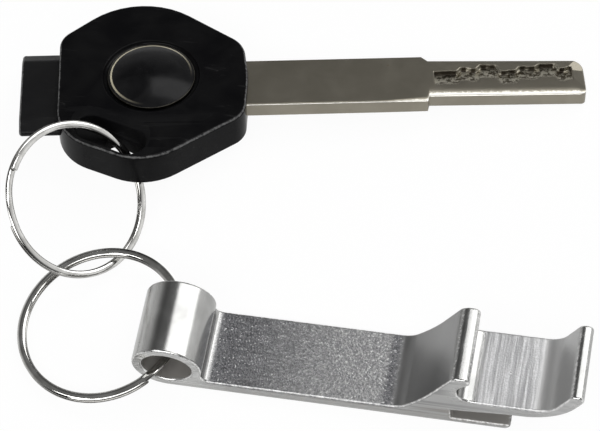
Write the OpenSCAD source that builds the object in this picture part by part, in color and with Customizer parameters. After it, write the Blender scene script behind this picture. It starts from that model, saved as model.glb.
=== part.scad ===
// Keychain bottle opener on two split rings, with the key that hangs on them.
// Everything lies on one table, z = 0. The opener lies along +X on its flat back;
// the origin is the middle of that resting face.

/* [Opener] */
// Width of the extruded opener, across the handle
opener_w = 11.2; // [9:0.1:16]
// Handle length, from the eye's axis to the foot of the claw
handle_l = 32.2; // [24:0.1:45]
// Thickness of the flat handle
handle_t = 2.3; // [1.8:0.05:3.2]
// Outer diameter of the eye
eye_od = 9.8; // [9.4:0.1:12]
// Bore of the eye
eye_bore = 6.9; // [6.4:0.1:7.4]
// Height of the claw above the back
claw_h = 12.8; // [11.8:0.1:15]
// Gap between the claw's tip and the lip
mouth_gap = 13.55; // [12:0.05:18]
// Height of the mouth's floor above the back
floor_z = 6.7; // [6.2:0.05:7.4]
// Thickness of the mouth's floor at the cup
floor_t = 2.4; // [1.8:0.05:3]
// Height of the lip above the back
lip_h = 11.85; // [11:0.05:13.5]
// Thickness of the lip along its top
lip_t = 1.7; // [1.2:0.05:2.5]
// Length of the can-tab tongue, from the root of its slot
tongue_l = 8.2; // [6:0.1:10]
// Thickness of the can-tab tongue
tongue_t = 1.05; // [0.8:0.05:1.5]

/* [Rings] */
// Outer diameter of the ring in the opener's eye
opener_ring_od = 24.0; // [22:0.1:30]
// Radial width of that ring's wire
opener_wire_w = 1.2; // [0.9:0.05:1.4]
// Height of one turn of that ring
opener_turn_h = 0.56; // [0.4:0.02:0.7]
// Outer diameter of the ring in the key's head
key_ring_od = 22.3; // [20:0.1:28]
// Radial width of that ring's wire
key_wire_w = 1.05; // [0.8:0.05:1.2]
// Height of one turn of that ring
key_turn_h = 0.5; // [0.35:0.02:0.6]
// Gap between the two turns of a split ring
turn_gap = 0.04; // [0.02:0.01:0.1]
// Part of a turn left open between a split ring's two ends, in degrees
ring_opening = 42; // [30:1:60]

/* [Key] */
// Width of the moulded head
head_w = 30.2; // [27:0.1:36]
// Length of the moulded head
head_l = 27.4; // [25:0.1:34]
// Thickness of the moulded head
head_t = 5.6; // [4.8:0.1:7]
// Length of the blade in front of the head
blade_l = 48.7; // [40:0.1:60]
// Length of the blade's wide shank in front of the head
shank_l = 25.6; // [15:0.1:32]
// Width of the shank
shank_w = 8.45; // [7:0.05:10]
// Width of the blade's tip
tip_w = 6.3; // [5:0.1:6.8]
// Thickness of the blade
blade_t = 2.4; // [1.8:0.1:3]
// Length of the tang moulded into the head
tang_l = 14; // [8:0.5:16]
// Diameter of the badge
badge_d = 12.6; // [10:0.1:14]
// Rise of the badge's dome
dome_h = 1.45; // [0.8:0.05:2]
// Width of the shutter block
block_w = 15.9; // [12:0.1:18]
// Thickness of the shutter block
block_t = 2.6; // [2.4:0.1:4]
// Length of the shutter block behind the head
block_l = 5.6; // [4:0.1:8]
// Diameter of each magnet in the shutter block
magnet_d = 1.6; // [1:0.1:1.8]

/* [Hidden] */
$fn = 96;

// ---- outlines: corners [x, y, radius], each rounded by a tangent arc ----
ARC_STEPS = 10;
function unit(v) = v / norm(v);
function corner_arc(a, p, b, r) =
    let (u = unit(a - p), v = unit(b - p), half = acos(u * v) / 2,
         c = p + unit(u + v) * r / sin(half),
         s = p + u * r / tan(half) - c, e = p + v * r / tan(half) - c,
         from = atan2(s.y, s.x), turn = atan2(s.x * e.y - s.y * e.x, s * e))
    [for (i = [0 : ARC_STEPS])
        let (t = from + turn * i / ARC_STEPS) c + r * [cos(t), sin(t)]];
function rounded(corners) =
    let (n = len(corners), at = [for (c = corners) [c.x, c.y]])
    [for (i = [0 : n - 1])
        each corners[i].z > 0
            ? corner_arc(at[(i + n - 1) % n], at[i], at[(i + 1) % n], corners[i].z)
            : [at[i]]];

// ---- opener profile, in x along the handle from the eye's axis and z up ----
RAMP_SOFT = 47;
RAMP_STEEP = 60;
LIP_LEAN = 62;
ramp_foot_r = 3.2;
ramp_r = 24;
ramp_bend_z = 3.5;
nose_r = 1.7;
crest_flat = 0.45;
tip_r = 0.92;
tip_t = 1.3;
undercut_r = 2;
undercut_in = 1.72;
throat_z = 9.9;
lip_wall = 1.2;
cup_r = 3;
cup_back_r = 8.7;
eye_fillet_r = 1.2;
slot_root_in = 0.95;
slot_r = 0.35;
slot_h = 2.4;

eye_r = eye_od / 2;
ramp_bend_x = handle_l + ramp_bend_z / tan(RAMP_SOFT);
nose_x = ramp_bend_x + (claw_h - handle_t - ramp_bend_z) / tan(RAMP_STEEP);
tip_x = nose_x + nose_r * tan(RAMP_STEEP / 2) + crest_flat + tip_r;
stem_x = tip_x - undercut_in;
slot_x = stem_x - slot_root_in;
tongue_x = slot_x + tongue_l;
lip_x = tip_x + mouth_gap + lip_t;
under_z = floor_z - floor_t;
function lean_back(z_from, z_to) = (z_from - z_to) / tan(LIP_LEAN);

opener_corners = [
    [0, 0, 0],
    [tongue_x, 0, tongue_t * 0.95],
    [tongue_x, tongue_t, 0],
    [slot_x, tongue_t, slot_r],
    [slot_x, tongue_t + slot_h, slot_r],
    [tongue_x, under_z, 0],
    [lip_x - lean_back(lip_h - lip_wall, under_z), under_z, cup_back_r],
    [lip_x, lip_h - lip_wall, 1],
    [lip_x, lip_h, min(0.5 * lip_t, lip_wall - 0.35)],
    [lip_x - lip_t, lip_h, 0.65 * lip_t],
    [lip_x - lip_t - lean_back(lip_h, floor_z), floor_z, cup_r],
    [stem_x, floor_z, undercut_r],
    [stem_x, throat_z, 1.8],
    [tip_x, claw_h - tip_t, 0.35],
    [tip_x, claw_h, tip_r],
    [nose_x, claw_h, nose_r],
    [ramp_bend_x, handle_t + ramp_bend_z, ramp_r],
    [handle_l, handle_t, ramp_foot_r],
    [0, handle_t, 0]
];

// ---- where the linked pieces lie; opener coordinates start at the eye's axis ----
EYE_WIRE_IN = 2.4;
EYE_WIRE_AT = [0.3, 1.15];
OPENER_RING_ROLL = 1.2;
LINK_ANGLE = 86;
LINK_SIDE = [-0.15, 1.1];
KEY_RING_TURN = [12.8, 41.8];
KEY_LINK_ANGLE = -20.6;
HOLE_ANGLE = 65;
KEY_YAW = 11.6;
OPENER_RING_SPIN = -22;
KEY_RING_SPIN = 204;

opener_mean_r = (opener_ring_od - opener_wire_w) / 2;
key_mean_r = (key_ring_od - key_wire_w) / 2;
opener_stack_h = 2 * opener_turn_h + turn_gap;
key_stack_h = 2 * key_turn_h + turn_gap;

// Turned by tilt[0] about X, then by tilt[1] about Y
function tilted(tilt, v) =
    let (b = tilt[0], a = tilt[1], y = cos(b) * v.y - sin(b) * v.z, z = sin(b) * v.y + cos(b) * v.z)
    [cos(a) * v.x + sin(a) * z, y, cos(a) * z - sin(a) * v.x];
function on_circle(r, angle) = [r * cos(angle), r * sin(angle), 0];

// The opener's ring hangs through the eye and touches the table on its far side
eye_wire = [EYE_WIRE_AT.x, EYE_WIRE_AT.y, eye_r - (eye_bore / 2 - EYE_WIRE_IN)];
opener_outer_r = opener_ring_od / 2;
function steepness(tilt) = acos(cos(tilt[0]) * cos(tilt[1]));
function opener_lean(lean, rounds) =
    rounds == 0 ? lean
        : let (steep = steepness([OPENER_RING_ROLL, lean]),
               low = opener_outer_r * (sin(steep) - sin(lean)) + opener_stack_h / 2 * cos(steep))
        opener_lean(asin((eye_wire.z - low) / (opener_mean_r + opener_outer_r)), rounds - 1);
opener_ring_turn = [OPENER_RING_ROLL, -opener_lean(7, 6)];
opener_ring_c = eye_wire - tilted(opener_ring_turn, [opener_mean_r, 0, 0]);

// The key's ring passes under the opener's ring and leans over it
link_p = opener_ring_c + tilted(opener_ring_turn, on_circle(opener_mean_r, LINK_ANGLE));
key_ring_steep = steepness(KEY_RING_TURN);
key_ring_z = key_ring_od / 2 * sin(key_ring_steep) + key_stack_h / 2 * cos(key_ring_steep);
key_ring_xy = link_p + [LINK_SIDE.x, LINK_SIDE.y, 0]
    - tilted(KEY_RING_TURN, on_circle(key_mean_r, KEY_LINK_ANGLE));
key_ring_c = [key_ring_xy.x, key_ring_xy.y, key_ring_z];

// ---- key: x along the blade from the badge's centre, y across, z out of its face ----
HEAD_BACK_SLOPE = 39;
HEAD_FRONT_SLOPE = 37;
NEAR_BACK_SLOPE = 26;
NEAR_FRONT_SLOPE = 33;
badge_to_back = 13.4;
crown_x = -1.7;
crown_r = 11.6;
near_crown_x = -0.75;
near_crown_r = 8.8;
near_extra = 0.6;
shoulder_r = 3.5;
near_shoulder_r = 7.4;
front_shoulder_r = 2.2;
front_bulge = 0.55;
edge_web = 3.4;

head_back = -badge_to_back;
head_front = head_back + head_l;
front_x = head_front - front_bulge;
far_half = (head_w - near_extra) / 2;
near_half = far_half + near_extra;
// How far the corner under a crown arc of radius r stands out, between two slopes
function crown_reach(r, back, front) = r * (1 / cos((back + front) / 2) - 1);
crown_y = far_half + crown_reach(crown_r, HEAD_BACK_SLOPE, HEAD_FRONT_SLOPE);
back_y = crown_y - (crown_x - head_back) * tan(HEAD_BACK_SLOPE);
front_y = crown_y - (front_x - crown_x) * tan(HEAD_FRONT_SLOPE);
near_crown_y = near_half + crown_reach(near_crown_r, NEAR_BACK_SLOPE, NEAR_FRONT_SLOPE);
near_back_y = near_crown_y - (near_crown_x - head_back) * tan(NEAR_BACK_SLOPE);
near_front_y = near_crown_y - (front_x - near_crown_x) * tan(NEAR_FRONT_SLOPE);
head_corners = [
    [head_back, back_y, shoulder_r], [crown_x, crown_y, crown_r],
    [front_x, front_y, front_shoulder_r], [head_front, 0, 18],
    [front_x, -near_front_y, front_shoulder_r], [near_crown_x, -near_crown_y, near_crown_r],
    [head_back, -near_back_y, near_shoulder_r]
];

// The ring's hole, and the wide dish around it on both faces
hole_y = near_half - edge_web;
dish_back = [head_back + 5, -(hole_y - 2.7)];
dish_front = [head_back + 10.4, -hole_y];
hole_back = [head_back + 8.4, -(hole_y - 1.45)];
hole_front = [head_back + 10.7, -(hole_y + 0.2)];
dish_r = 2.4;
hole_r = 1.45;
dish_depth = 2.6;
back_dish_depth = 0.8;
hole_at = [head_back + 9.5, -(hole_y - 1.05), -0.9];

// The key rests on its tip and on the head's far edge, and its ring lifts the near edge
TIP_CUT = [2, 1.9];
NEAR_TIP_CUT = [1, 0.6];
FAR_EDGE_AT = [17.4, 1.1];
hole_p = key_ring_c + tilted(KEY_RING_TURN, on_circle(key_mean_r, HOLE_ANGLE));
blade_end = head_front + blade_l;
tip_foot = [blade_end - TIP_CUT.x, tip_w / 2, -blade_t / 2] - hole_at;
head_foot = [head_back + FAR_EDGE_AT.x, far_half - FAR_EDGE_AT.y, -head_t / 2] - hole_at;
function pitch_for(roll) =
    let (q = sin(roll) * tip_foot.y + cos(roll) * tip_foot.z)
    asin(hole_p.z / norm([tip_foot.x, q])) + atan2(q, tip_foot.x);
function roll_for(pitch) =
    asin((sin(pitch) * head_foot.x - hole_p.z) / cos(pitch) / norm([head_foot.y, head_foot.z]))
        - atan2(head_foot.z, head_foot.y);
function settled(pose, rounds) =
    rounds == 0 ? pose
        : let (pitch = pitch_for(pose[0])) settled([roll_for(pitch), pitch], rounds - 1);
key_pose = settled([0, 0], 8);

// ---- key details ----
seat_clearance = 0.02;
bezel_d = badge_d + 1.5;
bezel_depth = 0.55;
badge_seat = 0.3;
plate_t = 0.8;
plate_rim = 0.3;
dome_inset = 0.15;
badge_z = head_t / 2 - bezel_depth - badge_seat;
block_seat = 3;
block_flat = 10.2;
block_at = [-0.2, -0.2];
badge_y = 0.4;
magnet_count = 4;
magnet_t = 2;
magnet_skin = 0.8;
magnet_pitch = 2.9;
tang_w = 5.6;
tang_shoulder = 2.5;
TRACK = [0.5, 0.9, 0.9, 0.3, 0.6, 1.5, 1.5, 0.6, -0.2, 0, 0.7, 0.3, 1.1, 1.2, 0.6];
track_r = 0.95;
track_start = 1.6;
track_pitch = 1.3;
track_depth = 0.55;

// Moves the linked pieces so that the origin is the middle of the opener's resting face
resting_l = tongue_x - tongue_t * 0.95;
module placed() { translate([-resting_l / 2, 0, 0]) children(); }
module in_key_frame() {
    placed() translate(hole_p) rotate([key_pose[0], key_pose[1], KEY_YAW]) translate(-hole_at) children();
}
module extruded_across() { rotate([90, 0, 0]) linear_extrude(opener_w, center = true) children(); }

module opener_body() {
    color("silver") placed() extruded_across() difference() {
        union() {
            translate([0, eye_r]) circle(r = eye_r);
            polygon(rounded(opener_corners));
            eye_fillet();
        }
        translate([0, eye_r]) circle(d = eye_bore);
    }
}

// Fills the notch between the eye and the top of the handle with a tangent curve
module eye_fillet() {
    rise = handle_t + eye_fillet_r;
    reach = sqrt((eye_r + eye_fillet_r) ^ 2 - (eye_r - rise) ^ 2);
    difference() {
        translate([reach * 0.6, handle_t - 0.5]) square([reach * 0.4, eye_fillet_r + 0.5]);
        translate([reach, rise]) circle(r = eye_fillet_r);
    }
}

// Two turns of wire; between its ends the wire steps from one turn to the other.
// winding 1 starts on the upper turn, and winding -1 on the lower one.
module split_ring(mean_r, wire_w, turn_h, winding = 1) {
    steps = 120;
    sides = 8;
    half_open = ring_opening / 2;
    level = winding * (turn_h + turn_gap) / 2;
    function ease(t) = t * t * (3 - 2 * t);
    function height(a) = level * (1 - 2 * ease(max(0, min(1, (a - 360 + half_open) / ring_opening))));
    function section(j) = let (a = 22.5 + 45 * j) [cos(a), sin(a)] / cos(22.5);
    points = [for (i = [0 : steps])
        let (a = half_open + (720 - 2 * half_open) * i / steps, z = height(a))
        for (j = [0 : sides - 1])
            let (s = section(j), x = min(1, max(-1, s.x)), y = min(1, max(-1, s.y)),
                 r = mean_r + x * wire_w / 2)
            [r * cos(a), r * sin(a), z + y * turn_h / 2]];
    walls = [for (i = [0 : steps - 1]) for (j = [0 : sides - 1])
        let (k = (j + 1) % sides) each
        [[i * sides + j, i * sides + k, (i + 1) * sides + k],
         [i * sides + j, (i + 1) * sides + k, (i + 1) * sides + j]]];
    first = [for (j = [sides - 1 : -1 : 0]) j];
    last = [for (j = [0 : sides - 1]) steps * sides + j];
    polyhedron(points, concat(walls, [first, last]));
}

module opener_ring() {
    color("gainsboro") placed() translate(opener_ring_c)
        rotate([opener_ring_turn[0], opener_ring_turn[1], 0])
        rotate([0, 0, OPENER_RING_SPIN]) split_ring(opener_mean_r, opener_wire_w, opener_turn_h);
}

module key_ring() {
    color("gainsboro") placed() translate(key_ring_c)
        rotate([KEY_RING_TURN[0], KEY_RING_TURN[1], 0])
        rotate([0, 0, KEY_RING_SPIN]) split_ring(key_mean_r, key_wire_w, key_turn_h, -1);
}

module obround(a, b, r) {
    d = b - a;
    translate(a) rotate(atan2(d.y, d.x)) union() {
        circle(r = r);
        translate([norm(d), 0]) circle(r = r);
        translate([0, -r]) square([norm(d), 2 * r]);
    }
}

module key_head() {
    color([0.07, 0.07, 0.07]) in_key_frame() difference() {
        linear_extrude(head_t, center = true) polygon(rounded(head_corners));
        linear_extrude(head_t + 2, center = true) obround(hole_back, hole_front, hole_r);
        translate([0, 0, head_t / 2 - dish_depth])
            linear_extrude(dish_depth + 1) obround(dish_back, dish_front, dish_r);
        translate([0, 0, -head_t / 2 - 1])
            linear_extrude(back_dish_depth + 1) obround(dish_back, dish_front, dish_r);
        translate([0, badge_y, head_t / 2 - bezel_depth]) bezel_cut();
        translate([0, badge_y, badge_z])
            cylinder(h = badge_seat + 1, d = badge_d + 2 * seat_clearance);
        blade_shape();
        shutter_prism();
    }
}

module bezel_cut() {
    cylinder(h = bezel_depth * 1.001, d1 = badge_d + 0.4, d2 = bezel_d);
    translate([0, 0, bezel_depth]) cylinder(h = 1, d = bezel_d);
}

module badge_plate() {
    color("goldenrod") in_key_frame() translate([0, badge_y, badge_z])
        difference() {
            cylinder(h = plate_t, d = badge_d);
            translate([0, 0, plate_t - plate_rim]) cylinder(h = 1, d = badge_d - 2 * dome_inset);
        }
}

module badge_dome() {
    r = badge_d / 2 - dome_inset;
    sphere_r = (r * r + dome_h * dome_h) / (2 * dome_h);
    color([0.05, 0.05, 0.05]) in_key_frame()
        translate([0, badge_y, badge_z + plate_t - plate_rim]) intersection() {
            union() {
                cylinder(h = plate_rim, r = r);
                translate([0, 0, plate_rim + dome_h - sphere_r]) sphere(r = sphere_r);
            }
            cylinder(h = plate_rim + dome_h + 1, r = r);
        }
}

// Shank, tip and tang as one flat bar; the head is moulded round the tang
module blade_shape() {
    cut = TIP_CUT;
    near = NEAR_TIP_CUT;
    shank_end = head_front + shank_l;
    linear_extrude(blade_t, center = true) polygon([
        [head_front - tang_l, tang_w / 2], [head_front - tang_shoulder, tang_w / 2],
        [head_front - tang_shoulder, shank_w / 2], [shank_end - 0.5, shank_w / 2],
        [shank_end + 0.5, tip_w / 2], [blade_end - cut.x, tip_w / 2],
        [blade_end, tip_w / 2 - cut.y], [blade_end, -tip_w / 2 + near.y],
        [blade_end - near.x, -tip_w / 2], [shank_end + 0.5, -tip_w / 2],
        [shank_end - 0.5, -shank_w / 2], [head_front - tang_shoulder, -shank_w / 2],
        [head_front - tang_shoulder, -tang_w / 2], [head_front - tang_l, -tang_w / 2]
    ]);
}

// Outline of the wavy track that is milled into both faces of the tip
function track_point(i, side) =
    [head_front + shank_l + track_start + i * track_pitch, TRACK[i] + side * track_r];

module key_blade() {
    last = len(TRACK) - 1;
    outline = concat([for (i = [0 : last]) track_point(i, 1)], [for (i = [last : -1 : 0]) track_point(i, -1)]);
    color([0.62, 0.6, 0.56]) in_key_frame() difference() {
        blade_shape();
        for (side = [-1, 1])
            translate([0, 0, side * blade_t / 2])
                linear_extrude(2 * track_depth, center = true) scale([1, side]) polygon(outline);
    }
}

// Flat six-sided prism that stands out of the back of the head
module shutter_prism() {
    end = head_back - block_l;
    translate([end, block_at.x, block_at.y]) rotate([90, 0, 90])
        linear_extrude(block_l + block_seat) polygon([
            [-block_flat / 2, block_t / 2], [block_flat / 2, block_t / 2], [block_w / 2, 0],
            [block_flat / 2, -block_t / 2], [-block_flat / 2, -block_t / 2], [-block_w / 2, 0]
        ]);
}

module magnet_row() {
    for (i = [0 : magnet_count - 1])
        translate([head_back - block_l + magnet_skin,
                   block_at.x + (i - (magnet_count - 1) / 2) * magnet_pitch, block_at.y])
            rotate([0, 90, 0]) cylinder(h = magnet_t, d = magnet_d);
}

module shutter_block() {
    color([0.1, 0.1, 0.1]) in_key_frame() difference() {
        shutter_prism();
        magnet_row();
    }
}

module shutter_magnets() { color("dimgray") in_key_frame() magnet_row(); }

opener_body();
opener_ring();
key_ring();
key_head();
key_blade();
badge_plate();
badge_dome();
shutter_block();
shutter_magnets();
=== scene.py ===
"""Dresses the keychain bottle opener, its two split rings and its key.

Lengths are in metres in the frame of the CAD model: +X runs along the opener from its
eye to its lip, +Y across it toward the key, and +Z up from the table. The dataclasses
give sizes in millimetres. These are the sizes of the part's source, except where the
photograph shows an edge, the dish, the blade or the shutter block a little different.
"""

import logging
import math
from dataclasses import dataclass, field
from enum import Enum
from typing import Callable, Sequence

import bmesh
import bpy
import numpy as np
from mathutils import Matrix, Vector
from mathutils.bvhtree import BVHTree
from mathutils.geometry import tessellate_polygon


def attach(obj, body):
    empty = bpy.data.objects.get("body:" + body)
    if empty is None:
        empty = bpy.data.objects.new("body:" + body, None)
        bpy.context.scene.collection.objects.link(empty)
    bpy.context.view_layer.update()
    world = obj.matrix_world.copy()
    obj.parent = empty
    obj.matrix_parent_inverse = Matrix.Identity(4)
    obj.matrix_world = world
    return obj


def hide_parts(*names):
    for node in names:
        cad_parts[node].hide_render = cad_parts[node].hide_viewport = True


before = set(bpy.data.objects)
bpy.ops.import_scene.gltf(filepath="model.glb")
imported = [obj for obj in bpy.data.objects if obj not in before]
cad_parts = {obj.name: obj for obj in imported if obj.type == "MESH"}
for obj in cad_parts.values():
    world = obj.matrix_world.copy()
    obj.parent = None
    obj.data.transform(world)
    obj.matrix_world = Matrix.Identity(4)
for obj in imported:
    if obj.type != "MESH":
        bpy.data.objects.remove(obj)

LOG = logging.getLogger("keyring")
MM = 0.001
WIDTH, HEIGHT = 600, 431
ROUND = 128
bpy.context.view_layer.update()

Colour = tuple[float, float, float]


# ---------------------------------------------------------------- plain geometry


def turned(degrees: float, axis: str) -> np.ndarray:
    """Returns the 3 by 3 matrix of a turn about one axis by the right-hand rule.

    Args:
        degrees: the angle of the turn.
        axis: "X", "Y" or "Z".

    Returns:
        The rotation matrix.
    """
    return np.array(Matrix.Rotation(math.radians(degrees), 3, axis))


def ease(t: np.ndarray) -> np.ndarray:
    """Smooth step: 3 t squared minus 2 t cubed, with t held between 0 and 1."""
    t = np.clip(t, 0.0, 1.0)
    return t * t * (3 - 2 * t)


def window(x: np.ndarray, low: float, high: float, soft: float) -> np.ndarray:
    """1 between low and high, falling to 0 over the width soft outside them."""
    return ease((x - low) / soft + 1) * ease((high - x) / soft + 1)


def circle(radius: float, count: int, centre: Sequence[float] = (0.0, 0.0)) -> np.ndarray:
    """Points of a circle, counter-clockwise: centre plus radius times (cos a, sin a)."""
    a = np.linspace(0, 2 * math.pi, count, endpoint=False)
    return np.stack([np.cos(a), np.sin(a)], 1) * radius + np.asarray(centre)


def arc(centre: Sequence[float], radius: float, start: float, end: float, steps: int) -> np.ndarray:
    """Points of an arc between two angles in degrees, both ends included."""
    a = np.radians(np.linspace(start, end, steps + 1))
    return np.stack([np.cos(a), np.sin(a)], 1) * radius + np.asarray(centre)


def slot_outline(a: Sequence[float], b: Sequence[float], radius: float, steps: int = 24) -> np.ndarray:
    """Outline of a straight slot with round ends: two half circles about its end points.

    Args:
        a: centre of one round end.
        b: centre of the other.
        radius: radius of the ends.
        steps: steps of each half circle.

    Returns:
        2 * (steps + 1) points, counter-clockwise.
    """
    start, end = np.asarray(a, float), np.asarray(b, float)
    lean = math.degrees(math.atan2(*(end - start)[::-1]))
    return np.concatenate([
        arc(end, radius, lean - 90, lean + 90, steps),
        arc(start, radius, lean + 90, lean + 270, steps),
    ])


def rounded(corners: np.ndarray, inset: float = 0.0, steps: int = 10) -> np.ndarray:
    """Outline of a polygon whose corners are tangent arcs, moved inward by inset.

    A corner moves along its bisector by inset over the sine of half its angle. Its arc
    keeps its centre, so the radius shrinks on a convex corner and grows on a concave one.

    Args:
        corners: rows of x, y and radius, counter-clockwise.
        inset: distance of the outline inside the true one.
        steps: steps of each arc.

    Returns:
        len(corners) * (steps + 1) points.
    """
    at, radius = corners[:, :2], corners[:, 2]
    to_last = np.roll(at, 1, 0) - at
    to_next = np.roll(at, -1, 0) - at
    u = to_last / np.linalg.norm(to_last, axis=1, keepdims=True)
    v = to_next / np.linalg.norm(to_next, axis=1, keepdims=True)
    side = np.sign(v[:, 0] * u[:, 1] - v[:, 1] * u[:, 0])
    half = np.arccos(np.clip((u * v).sum(1), -1, 1)) / 2
    middle = (u + v) / np.linalg.norm(u + v, axis=1, keepdims=True)
    held = np.maximum(radius - side * inset, 0.0)
    moved = at + middle * (side * inset / np.sin(half))[:, None]
    centre = moved + middle * (held / np.sin(half))[:, None]
    first = u * (held / np.tan(half))[:, None] + moved - centre
    turn = side * (math.pi - 2 * half)
    start = np.arctan2(first[:, 1], first[:, 0])
    a = start[:, None] + turn[:, None] * np.linspace(0, 1, steps + 1)[None]
    points = centre[:, None] + held[:, None, None] * np.stack([np.cos(a), np.sin(a)], 2)
    return points.reshape(-1, 2)


@dataclass(frozen=True)
class Dividing:
    """Cuts the long steps of a closed outline the same way in each of its copies.

    Attributes:
        index: the outline point that each new point starts from.
        share: how far each new point lies toward the next outline point.
    """

    index: np.ndarray
    share: np.ndarray

    @classmethod
    def of(cls, outline: np.ndarray, longest: float) -> "Dividing":
        """Plans the cuts: each step gets its length over longest pieces, rounded up.

        Args:
            outline: the closed outline to plan for.
            longest: the longest step that stays whole.

        Returns:
            The plan.
        """
        length = np.linalg.norm(np.roll(outline, -1, 0) - outline, axis=1)
        pieces = np.maximum(np.ceil(length / longest), 1).astype(int)
        index = np.repeat(np.arange(len(outline)), pieces)
        first = np.repeat(np.cumsum(pieces) - pieces, pieces)
        return cls(index, (np.arange(len(index)) - first) / np.repeat(pieces, pieces))

    def cut(self, outline: np.ndarray) -> np.ndarray:
        """Places the new points: a straight mix of each point and its next.

        Args:
            outline: an outline with as many points as the planned one.

        Returns:
            The outline with its long steps cut.
        """
        ahead = np.roll(outline, -1, 0)
        share = self.share[:, None]
        return outline[self.index] * (1 - share) + ahead[self.index] * share


@dataclass
class Shell:
    """Gathers bands and flat fills, and welds them into one closed mesh.

    Attributes:
        mark_names: names of the numbers that each point carries.
        points: arrays of points, in millimetres.
        faces: arrays of faces, as indices into the points so far.
        marks: those numbers, one array for each array of points.
        count: how many points there are so far.
    """

    mark_names: tuple[str, ...] = ()
    points: list[np.ndarray] = field(default_factory=list)
    faces: list[np.ndarray] = field(default_factory=list)
    marks: list[np.ndarray] = field(default_factory=list)
    count: int = 0

    def _keep(self, points: np.ndarray, marks: dict[str, np.ndarray]) -> int:
        """Stores points with their marks and returns the index of the first.

        Args:
            points: an array of points.
            marks: numbers for those points, by name.

        Returns:
            The index of the first of them.
        """
        start = self.count
        self.points.append(points)
        self.marks.append(np.stack(
            [np.broadcast_to(marks.get(n, 0.0), len(points)).astype(float) for n in self.mark_names]
            or [np.zeros(len(points))], 1))
        self.count += len(points)
        return start

    def band(self, loops: np.ndarray, **marks: np.ndarray) -> None:
        """Joins a stack of closed loops with four-sided faces.

        Args:
            loops: array of loop, point and x y z; the surface point (i, j) is loops[i, j].
            marks: one number for each point, or for all.
        """
        rows, columns = loops.shape[:2]
        flat = {k: np.broadcast_to(v, (rows, columns)).reshape(-1) for k, v in marks.items()}
        start = self._keep(loops.reshape(-1, 3), flat)
        i, j = np.meshgrid(np.arange(rows - 1), np.arange(columns), indexing="ij")
        k = (j + 1) % columns
        quads = np.stack([i * columns + j, i * columns + k, (i + 1) * columns + k,
                          (i + 1) * columns + j], -1)
        self.faces.append(quads.reshape(-1, 4) + start)

    def fill(self, outline: np.ndarray, holes: Sequence[np.ndarray] = (), **marks: float) -> None:
        """Closes a flat outline, leaving its holes open, with triangles between its points.

        Args:
            outline: the closed loop round the face.
            holes: closed loops inside it.
            marks: one number for all of its points, by name.
        """
        loops = [outline, *holes]
        triangles = tessellate_polygon([[Vector(p) for p in loop] for loop in loops])
        start = self._keep(np.concatenate(loops), {k: np.asarray(v) for k, v in marks.items()})
        self.faces.append(np.asarray(triangles) + start)

    def piece(self, name: str, place: Callable[[np.ndarray], np.ndarray],
              weld: float = 0.002) -> bpy.types.Object:
        """Welds what was gathered and makes the object, at the origin and unturned.

        Args:
            name: the piece's name.
            place: turns the piece's millimetres into the CAD frame's metres.
            weld: distance in millimetres under which points become one.

        Returns:
            The finished object, linked to the scene.
        """
        mesh = bpy.data.meshes.new(name)
        points = place(np.concatenate(self.points))
        mesh.from_pydata(points.tolist(), [], [f.tolist() for a in self.faces for f in a])
        for k, mark in enumerate(self.mark_names):
            values = np.concatenate(self.marks)[:, k].astype(np.float32)
            mesh.attributes.new(mark, "FLOAT", "POINT").data.foreach_set("value", values)
        work = bmesh.new()
        work.from_mesh(mesh)
        bmesh.ops.remove_doubles(work, verts=work.verts, dist=weld * MM)
        bmesh.ops.dissolve_degenerate(work, edges=work.edges, dist=weld * MM * 0.5)
        bmesh.ops.recalc_face_normals(work, faces=work.faces)
        work.to_mesh(mesh)
        work.free()
        mesh.shade_smooth()
        piece = bpy.data.objects.new(name, mesh)
        bpy.context.scene.collection.objects.link(piece)
        return piece


def even_normals(piece: bpy.types.Object) -> None:
    """Lets large faces lead the normals, so that flats stay flat beside their rounded edges."""
    lead = piece.modifiers.new("even normals", "WEIGHTED_NORMAL")
    lead.mode, lead.weight, lead.keep_sharp = "FACE_AREA", 50, True


# ---------------------------------------------------------------- where the pieces lie


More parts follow.
